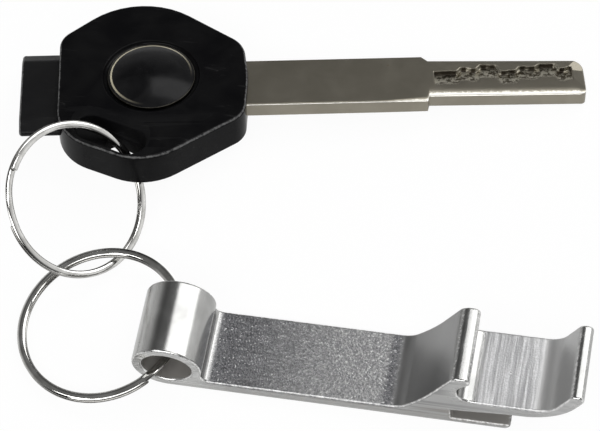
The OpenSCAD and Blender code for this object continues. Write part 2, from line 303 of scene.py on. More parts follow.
@dataclass(frozen=True)
class OpenerSizes:
    """Sizes of the extruded opener in millimetres, from the eye's axis and up from its back."""

    width: float = 11.2
    handle_l: float = 32.2
    handle_t: float = 2.3
    eye_r: float = 4.9
    bore_r: float = 3.45
    claw_h: float = 12.8
    mouth_gap: float = 13.55
    floor_z: float = 6.7
    floor_t: float = 2.4
    lip_h: float = 11.85
    lip_t: float = 1.7
    tongue_l: float = 8.2
    tongue_t: float = 1.05
    ramp_soft: float = 47.0
    ramp_steep: float = 60.0
    lip_lean: float = 62.0
    ramp_bend_z: float = 3.5
    nose_r: float = 1.7
    crest_flat: float = 0.45
    tip_r: float = 0.92
    undercut_in: float = 1.72
    slot_root_in: float = 0.95
    slot_h: float = 2.4
    fillet_r: float = 1.2
    edge: float = 0.36
    tongue_round: float = 0.95
    lip_face: float = 1.2
    claw_face: float = 1.3
    undercut_z: float = 9.9

    @property
    def tongue_r(self) -> float:
        """Radius of the lower corner of the tongue's end."""
        return self.tongue_t * self.tongue_round

    @property
    def ramp_bend_x(self) -> float:
        """Where the ramp turns from its soft slope to its steep one."""
        return self.handle_l + self.ramp_bend_z / math.tan(math.radians(self.ramp_soft))

    @property
    def nose_x(self) -> float:
        """Where the ramp's line meets the height of the claw."""
        rise = self.claw_h - self.handle_t - self.ramp_bend_z
        return self.ramp_bend_x + rise / math.tan(math.radians(self.ramp_steep))

    @property
    def tip_x(self) -> float:
        """The claw's tip."""
        reach = self.nose_r * math.tan(math.radians(self.ramp_steep / 2))
        return self.nose_x + reach + self.crest_flat + self.tip_r

    @property
    def stem_x(self) -> float:
        """The wall under the claw's tip."""
        return self.tip_x - self.undercut_in

    @property
    def slot_x(self) -> float:
        """The root of the can-tab slot."""
        return self.stem_x - self.slot_root_in

    @property
    def tongue_x(self) -> float:
        """The end of the can-tab tongue."""
        return self.slot_x + self.tongue_l

    @property
    def lip_x(self) -> float:
        """The outer end of the lip."""
        return self.tip_x + self.mouth_gap + self.lip_t

    @property
    def middle_x(self) -> float:
        """The middle of the resting face, where the CAD frame has its origin."""
        return (self.tongue_x - self.tongue_r) / 2

    def corners(self) -> np.ndarray:
        """Corners of the profile beyond the eye: x, z and radius, counter-clockwise.

        Returns:
            Rows of x, z and radius.
        """
        def back(z_from: float, z_to: float) -> float:
            """How far the lip's line leans back between two heights."""
            return (z_from - z_to) / math.tan(math.radians(self.lip_lean))

        under = self.floor_z - self.floor_t
        wall = self.lip_h - self.lip_face
        return np.array([
            [self.tongue_x, 0, self.tongue_r],
            [self.tongue_x, self.tongue_t, 0],
            [self.slot_x, self.tongue_t, 0.35],
            [self.slot_x, self.tongue_t + self.slot_h, 0.35],
            [self.tongue_x, under, 0],
            [self.lip_x - back(wall, under), under, 8.7],
            [self.lip_x, wall, 1],
            [self.lip_x, self.lip_h, 0.85],
            [self.lip_x - self.lip_t, self.lip_h, 1.105],
            [self.lip_x - self.lip_t - back(self.lip_h, self.floor_z), self.floor_z, 3],
            [self.stem_x, self.floor_z, 2],
            [self.stem_x, self.undercut_z, 1.8],
            [self.tip_x, self.claw_h - self.claw_face, 0.35],
            [self.tip_x, self.claw_h, self.tip_r],
            [self.nose_x, self.claw_h, self.nose_r],
            [self.ramp_bend_x, self.handle_t + self.ramp_bend_z, 24],
            [self.handle_l, self.handle_t, 3.2],
        ])


@dataclass(frozen=True)
class RingSizes:
    """Sizes of one split ring in millimetres."""

    outer_d: float
    wire_w: float
    turn_h: float
    gap: float = 0.04
    opening: float = 42.0

    @property
    def mean_r(self) -> float:
        """Radius of the wire's centre line."""
        return (self.outer_d - self.wire_w) / 2

    @property
    def stack_h(self) -> float:
        """Height of the two turns together."""
        return 2 * self.turn_h + self.gap


@dataclass(frozen=True)
class KeySizes:
    """Sizes of the key in millimetres, with x along the blade from the badge's centre."""

    head_w: float = 30.2
    near_extra: float = 0.6
    head_l: float = 27.4
    head_t: float = 5.6
    head_back: float = -13.4
    blade_l: float = 48.7
    shank_l: float = 25.6
    shank_w: float = 8.45
    tip_w: float = 6.3
    blade_t: float = 2.4
    tip_cut: float = 2.0
    tang_l: float = 14.0
    tang_w: float = 5.6
    badge_d: float = 12.6
    badge_y: float = 0.4
    dome_h: float = 1.45
    block_w: float = 17.2
    block_flat: float = 11.3
    block_t: float = 2.6
    block_l: float = 5.6
    hole_y: float = 12.0
    edge: float = 0.45
    far_crown: tuple[float, float] = (-1.7, 11.6)
    near_crown: tuple[float, float] = (-0.75, 8.8)
    far_flanks: tuple[float, float] = (39, 37)
    near_flanks: tuple[float, float] = (26, 33)
    front_in: float = 0.55
    wire_at: tuple[float, float, float] = (9.5, 1.05, -0.9)
    rest_at: tuple[float, float] = (17.4, 1.1)

    @property
    def head_front(self) -> float:
        """Where the blade leaves the head."""
        return self.head_back + self.head_l

    @property
    def blade_end(self) -> float:
        """The blade's tip."""
        return self.head_front + self.blade_l

    @property
    def far_half(self) -> float:
        """Width of the head from its middle line to its far side."""
        return (self.head_w - self.near_extra) / 2

    def by_hole(self, x: float, y: float) -> tuple[float, float]:
        """A place that is x from the head's back and y inward from the hole's line."""
        return self.head_back + x, -(self.hole_y - y)

    @property
    def wire_spot(self) -> np.ndarray:
        """Where the ring's wire passes through the head."""
        x, y, z = self.wire_at
        return np.array([*self.by_hole(x, y), z])

    @property
    def tip_spot(self) -> np.ndarray:
        """The point of the tip's far lower edge that rests on the table."""
        return np.array([self.blade_end - self.tip_cut, self.tip_w / 2, -self.blade_t / 2])

    @property
    def rest_spot(self) -> np.ndarray:
        """The point of the head's far lower edge that rests on the table."""
        x, y = self.rest_at
        return np.array([self.head_back + x, self.far_half - y, -self.head_t / 2])

    def outline(self) -> np.ndarray:
        """Corners of the head: x, y and radius, counter-clockwise.

        Each side has two flanks that meet under a crown arc. The near side, below, bulges
        further than the far side.

        Returns:
            Rows of x, y and radius.
        """
        def side(half: float, crown: tuple[float, float],
                 flanks: tuple[float, float]) -> tuple[float, float, float]:
            """Heights of a side's crown and of its back and front corners.

            Args:
                half: height of the crown's arc at its highest.
                crown: the crown's place along the key and its radius.
                flanks: slopes of the back and front flanks, in degrees.

            Returns:
                Heights of the crown's corner, the back corner and the front corner.
            """
            (x, r), (back, front) = crown, (math.radians(f) for f in flanks)
            high = half + r * (1 / math.cos((back + front) / 2) - 1)
            return (high, high - (x - self.head_back) * math.tan(back),
                    high - (front_x - x) * math.tan(front))

        front_x = self.head_front - self.front_in
        far, far_back, far_front = side(self.far_half, self.far_crown, self.far_flanks)
        near, near_back, near_front = side(
            self.far_half + self.near_extra, self.near_crown, self.near_flanks)
        return np.array([
            [self.head_back, -near_back, 7.4],
            [self.near_crown[0], -near, self.near_crown[1]],
            [front_x, -near_front, 3.6],
            [self.head_front, 0, 18],
            [front_x, far_front, 4.4],
            [self.far_crown[0], far, self.far_crown[1]],
            [self.head_back, far_back, 3.5],
        ])


@dataclass
class Lay:
    """Where the opener, the rings and the key lie, linked, on the table.

    The opener's ring leans on the table beyond the eye, the key's ring passes under it
    and leans over it, and the key rests on its tip and its head's far edge. It repeats
    the source's own steps, so a piece lands on its solid.
    """

    opener: OpenerSizes
    eye_ring: RingSizes
    key_ring: RingSizes
    key: KeySizes
    wire_in: float = 2.4
    wire_at: tuple[float, float] = (0.3, 1.15)
    roll: float = 1.2
    link_angle: float = 86.0
    link_side: tuple[float, float] = (-0.15, 1.1)
    key_ring_turn: tuple[float, float] = (12.8, 41.8)
    key_link_angle: float = -20.6
    hole_angle: float = 65.0
    yaw: float = 11.6
    eye_ring_spin: float = -22.0
    key_ring_spin: float = 204.0

    @staticmethod
    def tilt(turn: Sequence[float]) -> np.ndarray:
        """A turn about X by turn[0], then about Y by turn[1]."""
        return turned(turn[1], "Y") @ turned(turn[0], "X")

    @staticmethod
    def on_ring(radius: float, degrees: float) -> np.ndarray:
        """The point of a flat ring at an angle."""
        a = math.radians(degrees)
        return np.array([radius * math.cos(a), radius * math.sin(a), 0.0])

    def __post_init__(self) -> None:
        """Works out each ring's place and turn, then the key's."""
        ring, other = self.eye_ring, self.key_ring
        wire = np.array([*self.wire_at, self.opener.eye_r - self.opener.bore_r + self.wire_in])
        outer, lean = ring.outer_d / 2, math.radians(7.0)
        for _ in range(6):
            steep = math.acos(math.cos(math.radians(self.roll)) * math.cos(lean))
            low = outer * (math.sin(steep) - math.sin(lean)) + ring.stack_h / 2 * math.cos(steep)
            lean = math.asin((wire[2] - low) / (ring.mean_r + outer))
        self.eye_ring_turn = self.tilt((self.roll, -math.degrees(lean)))
        self.eye_ring_at = wire - self.eye_ring_turn @ np.array([ring.mean_r, 0, 0])
        link = self.eye_ring_at + self.eye_ring_turn @ self.on_ring(ring.mean_r, self.link_angle)
        self.key_ring_tilt = self.tilt(self.key_ring_turn)
        steep = math.acos(self.key_ring_tilt[2, 2])
        height = other.outer_d / 2 * math.sin(steep) + other.stack_h / 2 * math.cos(steep)
        flat = link + np.array([*self.link_side, 0]) - self.key_ring_tilt @ self.on_ring(
            other.mean_r, self.key_link_angle)
        self.key_ring_at = np.array([flat[0], flat[1], height])
        self._rest_the_key()

    def _rest_the_key(self) -> None:
        """Solves the key's roll and pitch, so that its tip and far edge touch the table."""
        key = self.key
        self.hole = self.key_ring_at + self.key_ring_tilt @ self.on_ring(
            self.key_ring.mean_r, self.hole_angle)
        tip, edge = key.tip_spot - key.wire_spot, key.rest_spot - key.wire_spot
        roll = pitch = 0.0
        for _ in range(8):
            q = math.sin(roll) * tip[1] + math.cos(roll) * tip[2]
            pitch = math.asin(self.hole[2] / math.hypot(tip[0], q)) + math.atan2(q, tip[0])
            roll = math.asin((math.sin(pitch) * edge[0] - self.hole[2]) / math.cos(pitch)
                             / math.hypot(edge[1], edge[2])) - math.atan2(edge[2], edge[1])
        self.key_turn = turned(self.yaw, "Z") @ turned(math.degrees(pitch), "Y") @ turned(
            math.degrees(roll), "X")

    def _to_frame(self, points: np.ndarray) -> np.ndarray:
        """Moves points from the eye's axis to the CAD frame's origin, in metres."""
        return (points - np.array([self.opener.middle_x, 0, 0])) * MM

    def on_opener(self, points: np.ndarray) -> np.ndarray:
        """Places the opener's own points."""
        return self._to_frame(points)

    def on_eye_ring(self, points: np.ndarray) -> np.ndarray:
        """Places points of the ring in the opener's eye."""
        turn = self.eye_ring_turn @ turned(self.eye_ring_spin, "Z")
        return self._to_frame(points @ turn.T + self.eye_ring_at)

    def on_key_ring(self, points: np.ndarray) -> np.ndarray:
        """Places points of the ring in the key."""
        turn = self.key_ring_tilt @ turned(self.key_ring_spin, "Z")
        return self._to_frame(points @ turn.T + self.key_ring_at)

    def on_key(self, points: np.ndarray) -> np.ndarray:
        """Places points of the key."""
        return self._to_frame((points - self.key.wire_spot) @ self.key_turn.T + self.hole)


# ---------------------------------------------------------------- shader building


@dataclass
class NodeKit:
    """Adds nodes to one tree and joins them."""

    tree: bpy.types.NodeTree

    def add(self, kind: str, **settings: object) -> bpy.types.Node:
        """Adds a node of a kind and sets its properties.

        Args:
            kind: the node's type.
            settings: its properties, by name.

        Returns:
            The node.
        """
        node = self.tree.nodes.new(kind)
        for key, value in settings.items():
            setattr(node, key, value)
        return node

    def feed(self, socket: bpy.types.NodeSocket, value: object) -> None:
        """Links a socket to another, or sets it to a plain value.

        Args:
            socket: the socket to feed.
            value: another socket, or a number, vector or colour.
        """
        if isinstance(value, bpy.types.NodeSocket):
            self.tree.links.new(value, socket)
        elif isinstance(value, (tuple, list)) and socket.type == "RGBA":
            socket.default_value = (*value, 1.0)[:4]
        else:
            socket.default_value = value

    def maths(self, operation: str, value: object, *others: object) -> bpy.types.NodeSocket:
        """Chains one operation through the values, from left to right.

        Args:
            operation: the Math node's operation.
            value: the first value.
            others: the values after it; none for an operation on one value.

        Returns:
            The result.
        """
        for other in others or (0.0,):
            node = self.add("ShaderNodeMath", operation=operation)
            self.feed(node.inputs[0], value)
            self.feed(node.inputs[1], other)
            value = node.outputs[0]
        return value

    def times(self, *values: object) -> bpy.types.NodeSocket:
        """Multiplies values."""
        return self.maths("MULTIPLY", *values)

    def plus(self, *values: object) -> bpy.types.NodeSocket:
        """Adds values."""
        return self.maths("ADD", *values)

    def minus(self, *values: object) -> bpy.types.NodeSocket:
        """Takes the later values from the first."""
        return self.maths("SUBTRACT", *values)

    def most(self, *values: object) -> bpy.types.NodeSocket:
        """Keeps the largest of some values."""
        return self.maths("MAXIMUM", *values)

    def space(self, operation: str, a: object, b: object) -> bpy.types.Node:
        """Adds a Vector Math node on two vectors.

        Args:
            operation: the Vector Math node's operation.
            a: the first vector.
            b: the second.

        Returns:
            The node.
        """
        node = self.add("ShaderNodeVectorMath", operation=operation)
        self.feed(node.inputs[0], a)
        self.feed(node.inputs[1], b)
        return node

    def ramp(self, value: object, low: float, high: float, to_low: float = 0.0,
             to_high: float = 1.0) -> bpy.types.NodeSocket:
        """Carries a value smoothly from one range to another.

        Args:
            value: what is carried.
            low: the value that becomes to_low.
            high: the value that becomes to_high.
            to_low: the result at and below low.
            to_high: the result at and above high.

        Returns:
            The result.
        """
        node = self.add("ShaderNodeMapRange", interpolation_type="SMOOTHSTEP")
        for socket, given in zip(node.inputs, (value, low, high, to_low, to_high)):
            self.feed(socket, given)
        return node.outputs[0]

    def mix(self, share: object, a: object, b: object) -> bpy.types.NodeSocket:
        """Mixes two colours by a share.

        Args:
            share: how much of b shows.
            a: the first colour.
            b: the second.

        Returns:
            The mixed colour.
        """
        node = self.add("ShaderNodeMix", data_type="RGBA")
        self.feed(node.inputs["Factor"], share)
        self.feed(node.inputs[6], a)
        self.feed(node.inputs[7], b)
        return node.outputs[2]

    def layers(self, colour: object, *over: tuple[object, object]) -> bpy.types.NodeSocket:
        """Lays colours over one another, each by its own share.

        Args:
            colour: the lowest colour.
            over: pairs of a share and the colour that it lays over the rest.

        Returns:
            The colour that shows.
        """
        for share, top in over:
            colour = self.mix(share, colour, top)
        return colour

    def noise(self, vector: object, scale: object, detail: float = 2.0,
              roughness: float = 0.5, distortion: float = 0.0) -> bpy.types.NodeSocket:
        """Adds a Noise Texture and returns its value.

        Args:
            vector: where the noise is read.
            scale: how often it changes in one unit.
            detail: how many finer layers it has.
            roughness: how strong those are.
            distortion: how much it is warped.

        Returns:
            The noise, about 0.5 on the whole.
        """
        node = self.add("ShaderNodeTexNoise")
        self.feed(node.inputs["Vector"], vector)
        self.feed(node.inputs["Scale"], scale)
        node.inputs["Detail"].default_value = detail
        node.inputs["Roughness"].default_value = roughness
        node.inputs["Distortion"].default_value = distortion
        return node.outputs[0]

    def turned(self, vector: object, degrees: Sequence[float],
               scale: Sequence[float]) -> bpy.types.NodeSocket:
        """Turns and stretches a vector with a Mapping node.

        Args:
            vector: the vector.
            degrees: turns about x, y and z.
            scale: stretch along x, y and z.

        Returns:
            The turned vector.
        """
        node = self.add("ShaderNodeMapping")
        self.feed(node.inputs["Vector"], vector)
        node.inputs["Rotation"].default_value = [math.radians(d) for d in degrees]
        node.inputs["Scale"].default_value = scale
        return node.outputs[0]


@dataclass(frozen=True)
class Effect:
    """A shader node group with named inputs and outputs, built once and used by materials.

    Attributes:
        name: the group's name.
        vectors: names of its vector inputs.
        numbers: names of its number inputs.
        outputs: names of its outputs, which are numbers.
    """

    name: str
    vectors: tuple[str, ...]
    numbers: tuple[str, ...]
    outputs: tuple[str, ...]
    build: Callable[[NodeKit, dict, dict], None]

    def tree(self) -> bpy.types.NodeTree:
        """Returns the node group, and makes it the first time.

        Returns:
            The node group.
        """
        if self.name in bpy.data.node_groups:
            return bpy.data.node_groups[self.name]
        tree = bpy.data.node_groups.new(self.name, "ShaderNodeTree")
        for names, way, kind in ((self.vectors, "INPUT", "NodeSocketVector"),
                                 (self.numbers, "INPUT", "NodeSocketFloat"),
                                 (self.outputs, "OUTPUT", "NodeSocketFloat")):
            for name in names:
                tree.interface.new_socket(name, in_out=way, socket_type=kind)
        kit = NodeKit(tree)
        start, end = kit.add("NodeGroupInput"), kit.add("NodeGroupOutput")
        self.build(kit, {s.name: s for s in start.outputs if s.name},
                   {s.name: s for s in end.inputs if s.name})
        return tree

    def use(self, kit: NodeKit, **values: object) -> dict[str, bpy.types.NodeSocket]:
        """Places the group in a material with its own values and returns its outputs.

        Args:
            kit: the tree of the material.
            values: a number or a socket for each input, by name.

        Returns:
            The group's outputs, by name.
        """
        node = kit.add("ShaderNodeGroup", node_tree=self.tree())
        for name, value in values.items():
            kit.feed(node.inputs[name], value)
        return {s.name: s for s in node.outputs}


def _rate(kit: NodeKit, given: dict) -> bpy.types.NodeSocket:
    """Noise scale for a size in millimetres: 1000 over the size."""
    return kit.maths("DIVIDE", 1000.0, given["Size"])


def _grain(kit: NodeKit, given: dict, put: dict) -> None:
    """Two noises, one at the grain's size and one at a third of it, added and spread.

    Args:
        kit: the tree to build in.
        given: the group's input sockets.
        put: the group's output sockets.
    """
    scale = _rate(kit, given)
    coarse = kit.noise(given["Vector"], scale, 2.0, 0.6)
    fine = kit.noise(given["Vector"], kit.times(scale, 3.1), 2.0, 0.6)
    both = kit.plus(kit.times(coarse, 0.65), kit.times(fine, 0.35))
    kit.feed(put["Height"], both)
    kit.feed(put["Tone"], kit.ramp(both, 0.34, 0.66))


def _scratches(kit: NodeKit, given: dict, put: dict) -> None:
    """Thin lines where three stretched noises, each turned its own way, cross their middle.

    Args:
        kit: the tree to build in.
        given: the group's input sockets.
        put: the group's output sockets.
    """
    lines = []
    for turn, stretch, shift in (((20, 15, 34), (90, 1500, 1500), 0.0),
                                 ((-35, 10, 118), (70, 1150, 1150), 0.003),
                                 ((15, -40, 76), (120, 1900, 1900), -0.002)):
        wave = kit.noise(kit.turned(given["Vector"], turn, stretch), 1.0, 1.0, 0.5)
        away = kit.maths("ABSOLUTE", kit.minus(wave, 0.5 + shift))
        patches = kit.noise(kit.turned(given["Vector"], turn, (210, 330, 330)), 1.0, 1.0)
        here = kit.ramp(patches, kit.minus(1.0, given["Amount"]), 1.0)
        lines.append(kit.times(kit.ramp(away, 0.0, given["Width"], 1.0, 0.0), here))
    kit.feed(put["Mask"], kit.most(*lines))


def _handling(kit: NodeKit, given: dict, put: dict) -> None:
    """Broad clouds with finer ones inside: where fingers and pockets have rubbed.

    Args:
        kit: the tree to build in.
        given: the group's input sockets.
        put: the group's output sockets.
    """
    broad = kit.noise(given["Vector"], _rate(kit, given), 3.0, 0.55, 0.4)
    kit.feed(put["Tone"], kit.ramp(broad, 0.3, 0.7))
    kit.feed(put["Mask"], kit.ramp(broad, 0.48, 0.72))


def _edge_wear_and_glint(kit: NodeKit, given: dict, put: dict) -> None:
    """The edge mark, broken up by noise, so that the line of rubbing and painted highlight comes and
    goes.

    Args:
        kit: the tree to build in.
        given: the group's input sockets.
        put: the group's output sockets.
    """
    broken = kit.noise(given["Vector"], _rate(kit, given), 3.0, 0.7)
    worn = kit.plus(given["Edge"], kit.times(kit.minus(broken, 0.5), 1.1))
    kit.feed(put["Mask"], kit.ramp(worn, 0.45, 0.95))


def _die_lines(kit: NodeKit, given: dict, put: dict) -> None:
    """Noise stretched across the extrusion, so that it runs in lines from side to side.

    Args:
        kit: the tree to build in.
        given: the group's input sockets.
        put: the group's output sockets.
    """
    at = kit.space("MULTIPLY", given["Vector"], (1.0, 0.045, 0.5))
    wave = kit.noise(at.outputs[0], _rate(kit, given), 3.0, 0.65)
    kit.feed(put["Height"], wave)
    kit.feed(put["Tone"], kit.ramp(wave, 0.36, 0.64))


def _nick(kit: NodeKit, given: dict, put: dict) -> None:
    """A small dent with a ragged rim: each is 1 at its distance and falls to 0 beside it.

    Args:
        kit: the tree to build in.
        given: the group's input sockets.
        put: the group's output sockets.
    """
    away = kit.space("DISTANCE", given["Vector"], given["Place"]).outputs["Value"]
    ragged = kit.times(kit.noise(given["Vector"], 5200.0, 2.0), given["Reach"])
    reach = kit.maths("DIVIDE", kit.plus(away, ragged), given["Reach"])
    dent = kit.ramp(reach, 0.9, 1.4, 1.0, 0.0)
    kit.feed(put["Mask"], dent)
    kit.feed(put["Rim"], kit.minus(kit.ramp(reach, 1.5, 2.2, 1.0, 0.0), dent))


def _printed_ring(kit: NodeKit, given: dict, put: dict) -> None:
    """A ring line at a radius that pales toward one side and ends on the other.

    Args:
        kit: the tree to build in.
        given: the group's input sockets.
        put: the group's output sockets.
    """
    away = kit.maths("ABSOLUTE", kit.minus(given["Radius"], given["Middle"]))
    line = kit.ramp(away, 0.08, 0.16, 1.0, 0.0)
    apart = kit.space("SUBTRACT", given["Vector"], given["Centre"]).outputs[0]
    along = kit.space("DOT_PRODUCT", apart, given["Toward"]).outputs["Value"]
    kit.feed(put["Mask"], kit.times(line, kit.ramp(along, -0.0042, 0.004)))


GRAIN = Effect("metal grain", ("Vector",), ("Size",), ("Height", "Tone"), _grain)
SCRATCHES = Effect("pocket scratches", ("Vector",), ("Width", "Amount"), ("Mask",), _scratches)
HANDLING = Effect("handling", ("Vector",), ("Size",), ("Tone", "Mask"), _handling)
# Edge mask for rubbed edges and the painted highlight along them.
EDGE_WEAR_AND_GLINT = Effect("edge wear", ("Vector",), ("Edge", "Size"), ("Mask",), _edge_wear_and_glint)
NICK = Effect("nick", ("Vector", "Place"), ("Reach",), ("Mask", "Rim"), _nick)
DIE_LINES = Effect("die lines", ("Vector",), ("Size",), ("Height", "Tone"), _die_lines)
PRINTED_RING = Effect("printed ring", ("Vector", "Centre", "Toward"), ("Radius", "Middle"),
                      ("Mask",), _printed_ring)


@dataclass
class Finish:
    """A material under way: its kit, its principled shader and its object coordinates.

    Attributes:
        name: the material's name.
        metallic: the shader's plain metallic value.
        fixed: other constants, by socket name.
    """

    name: str
    metallic: float = 0.0
    fixed: dict[str, float] = field(default_factory=dict)

    def __post_init__(self) -> None:
        """Makes the material and sets its constants on the shader's own sockets."""
        self.material = bpy.data.materials.new(self.name)
        self.material.use_nodes = True
        self.kit = NodeKit(self.material.node_tree)
        self.shader = self.material.node_tree.nodes["Principled BSDF"]
        self.shader.inputs["Metallic"].default_value = self.metallic
        for name, value in self.fixed.items():
            self.shader.inputs[name].default_value = value
        self.at = self.kit.add("ShaderNodeTexCoord").outputs["Object"]

    def mark(self, name: str) -> bpy.types.NodeSocket:
        """Reads one of the piece's own vertex numbers."""
        return self.kit.add("ShaderNodeAttribute", attribute_name=name).outputs["Fac"]

    def grain(self, size_mm: object) -> dict[str, bpy.types.NodeSocket]:
        """Places the grain at a size."""
        return GRAIN.use(self.kit, Vector=self.at, Size=size_mm)

    def cloud(self, size_mm: float) -> dict[str, bpy.types.NodeSocket]:
        """Places the clouds of handling at a size."""
        return HANDLING.use(self.kit, Vector=self.at, Size=size_mm)

    def scratches(self, width: float, amount: float) -> bpy.types.NodeSocket:
        """Places the scratches and returns their mask."""
        return SCRATCHES.use(self.kit, Vector=self.at, Width=width, Amount=amount)["Mask"]

    def wear(self, edge: bpy.types.NodeSocket, size_mm: float) -> bpy.types.NodeSocket:
        """Places the edge wear and its painted highlight on an edge mark and returns its mask."""
        return EDGE_WEAR_AND_GLINT.use(self.kit, Vector=self.at, Edge=edge, Size=size_mm)["Mask"]

    def colour(self, value: bpy.types.NodeSocket) -> None:
        """Feeds the base colour."""
        self.kit.feed(self.shader.inputs["Base Color"], value)

    def roughness(self, value: bpy.types.NodeSocket) -> None:
        """Feeds the roughness."""
        self.kit.feed(self.shader.inputs["Roughness"], value)

    def relief(self, height: bpy.types.NodeSocket, depth_mm: float) -> None:
        """Feeds the normal from a height, where 1 is depth_mm deep.

        Args:
            height: the height, in units of the depth.
            depth_mm: how deep a height of 1 is, in millimetres.
        """
        bump = self.kit.add("ShaderNodeBump")
        bump.inputs["Strength"].default_value = 1.0
        bump.inputs["Distance"].default_value = depth_mm * MM
        self.kit.feed(bump.inputs["Height"], height)
        self.kit.feed(self.shader.inputs["Normal"], bump.outputs[0])


OPENER_MARKS = ("rough", "pale", "lined", "satin", "cup", "slot", "sawn", "edge")


@dataclass(frozen=True)
class TumbledAluminium:
    """Extruded aluminium, tumbled: crowns rubbed and painted with a highlight, granular handle with
    painted glints, lined floor, sawn sides.
    """

    low: Colour = (0.36, 0.36, 0.352)
    high: Colour = (0.46, 0.46, 0.452)
    grain_low: Colour = (0.078, 0.079, 0.083)
    grain_high: Colour = (0.222, 0.222, 0.231)
    # Painted glints: bright specks on the granular handle.
    speck_glint: Colour = (0.70, 0.70, 0.70)
    lined_low: Colour = (0.35, 0.35, 0.355)
    lined_high: Colour = (0.66, 0.66, 0.665)
    sawn_face: Colour = (0.43, 0.43, 0.427)
    eye_face: Colour = (0.60, 0.60, 0.592)
    satin_face: Colour = (0.29, 0.29, 0.288)
    unhandled: Colour = (0.30, 0.288, 0.272)
    cup_face: Colour = (0.47, 0.47, 0.467)
    # Rubbed metal, made brighter as a painted highlight on edges, crests and the nick's rim.
    worn: Colour = (0.86, 0.86, 0.85)
    grain_mm: float = 0.27
    eye_face_x: tuple[float, float] = (-0.0205, -0.0145)

    def material(self, nick_at: Vector) -> bpy.types.Material:
        """Builds the material.

        Args:
            nick_at: the place of the nick in the mouth's floor.

        Returns:
            The material.
        """
        f = Finish("tumbled aluminium", 1.0)
        k = f.kit
        rough, pale, lined, satin, cup, slot, sawn, edge = (f.mark(n) for n in OPENER_MARKS)
        grain, fine = f.grain(self.grain_mm), f.grain(0.1)
        drawn = DIE_LINES.use(k, Vector=f.at, Size=0.55)
        lines = f.scratches(0.009, 0.5)
        cloud = f.cloud(5.0)
        rub_and_glint = f.wear(edge, 0.5)
        nick = NICK.use(k, Vector=f.at, Place=nick_at, Reach=0.00014)
        # Sparse bright specks on the handle: painted glints.
        glint_specks = k.ramp(k.noise(f.at, 3600.0, 1.0, 0.5), 0.6, 0.76)
        grey = k.layers(
            k.mix(grain["Tone"], self.grain_low, self.grain_high),
            (k.times(pale, 0.8), k.mix(grain["Tone"], self.grain_high, self.high)),
            (k.times(glint_specks, 0.85), self.speck_glint))
        streak = k.mix(k.times(grain["Tone"], 0.5),
                       k.mix(drawn["Tone"], self.lined_low, self.lined_high), self.lined_low)
        place = k.add("ShaderNodeSeparateXYZ")
        k.feed(place.inputs[0], f.at)
        by_eye = k.ramp(place.outputs["X"], *self.eye_face_x, 1.0, 0.0)
        f.colour(k.layers(
            k.mix(cloud["Tone"], self.low, self.high),
            (sawn, k.mix(by_eye, self.sawn_face, self.eye_face)),
            (satin, self.satin_face),
            (cup, self.cup_face),
            (rough, grey),
            (lined, streak),
            (slot, self.unhandled),
            # Rubbed edges and crests with a painted highlight.
            (rub_and_glint, self.worn),
            # The nick: its dent painted dark as painted shade, its rim painted light as a painted
            # highlight.
            (nick["Mask"], self.grain_low),
            (k.times(nick["Rim"], 0.6), self.worn)))
        plain = k.most(k.times(slot, 0.75), k.times(cup, 0.3))
        k.feed(f.shader.inputs["Metallic"], k.minus(1.0, plain))
        f.roughness(k.plus(
            k.ramp(rough, 0.0, 1.0, 0.18, 0.33),
            k.times(sawn, 0.25),
            k.times(k.most(satin, cup, lined), 0.22),
            k.ramp(cloud["Mask"], 0.0, 1.0, 0.0, 0.04),
            k.times(lines, 0.1),
            k.times(k.most(rub_and_glint, slot), 0.16)))
        height = k.plus(k.times(grain["Height"], k.plus(rough, k.times(lined, 0.45))),
                        k.times(drawn["Height"], lined, 0.5), k.times(fine["Height"], 0.07))
        f.relief(k.minus(height, k.times(lines, 0.06), nick["Mask"]), 0.085)
        return f.material


@dataclass(frozen=True)
class RingSteel:
    """Plated spring steel: bright where it is rubbed, with painted shade in the groove between its turns
    and along the wire's inner and outer sides.
    """

    low: Colour = (0.50, 0.495, 0.475)
    high: Colour = (0.70, 0.695, 0.675)
    # Painted shade for the groove between the turns and the wire's inner and outer sides.
    painted_shade: Colour = (0.07, 0.066, 0.058)

    def material(self) -> bpy.types.Material:
        """Builds the material.

        Returns:
            The material.
        """
        f = Finish("plated ring steel", 1.0)
        k = f.kit
        cloud, lines, groove = f.cloud(2.2), f.scratches(0.012, 0.6), f.mark("groove")
        clean = k.mix(cloud["Tone"], self.low, self.high)
        # Painted shade where the groove mark is.
        f.colour(k.mix(k.times(groove, 0.92), clean, self.painted_shade))
        f.roughness(k.plus(k.ramp(cloud["Mask"], 0.0, 1.0, 0.08, 0.14), k.times(groove, 0.15),
                           k.times(lines, 0.12)))
        f.relief(k.minus(k.times(f.grain(0.3)["Height"], 0.4), lines), 0.0025)
        return f.material


@dataclass(frozen=True)
class BlackPlastic:
    """Black moulded plastic with polish, scuffs, and rubbed edges that carry a painted highlight."""

    name: str
    gloss: float
    shine: float
    low: Colour = (0.0035, 0.0035, 0.004)
    high: Colour = (0.0065, 0.0065, 0.0068)
    # Scuffs of the scratches, and the painted highlight along rubbed edges.
    scuff_and_glint: Colour = (0.15, 0.15, 0.15)
    texture_mm: float = 0.3
    texture_depth: float = 0.002
    scratched: float = 0.42
    dull: float = 0.0

    def material(self) -> bpy.types.Material:
        """Builds the material.

        Returns:
            The material.
        """
        f = Finish(self.name, 0.0, {"Specular IOR Level": self.shine})
        k = f.kit
        cloud, lines = f.cloud(5.5), f.scratches(0.009, self.scratched)
        f.colour(k.layers(
            k.mix(cloud["Tone"], self.low, self.high),
            (k.times(lines, 0.35), self.scuff_and_glint),
            # Rubbed edges lit up with a painted highlight.
            (k.times(f.wear(f.mark("edge"), 0.5), 0.8), self.scuff_and_glint)))
        f.roughness(k.plus(k.ramp(cloud["Mask"], 0.0, 1.0, self.gloss, self.gloss + 0.06),
                           k.times(f.mark("dish"), self.dull), k.times(lines, 0.2)))
        skin = f.grain(self.texture_mm)["Height"]
        f.relief(k.minus(skin, k.times(lines, 0.4)), self.texture_depth)
        return f.material


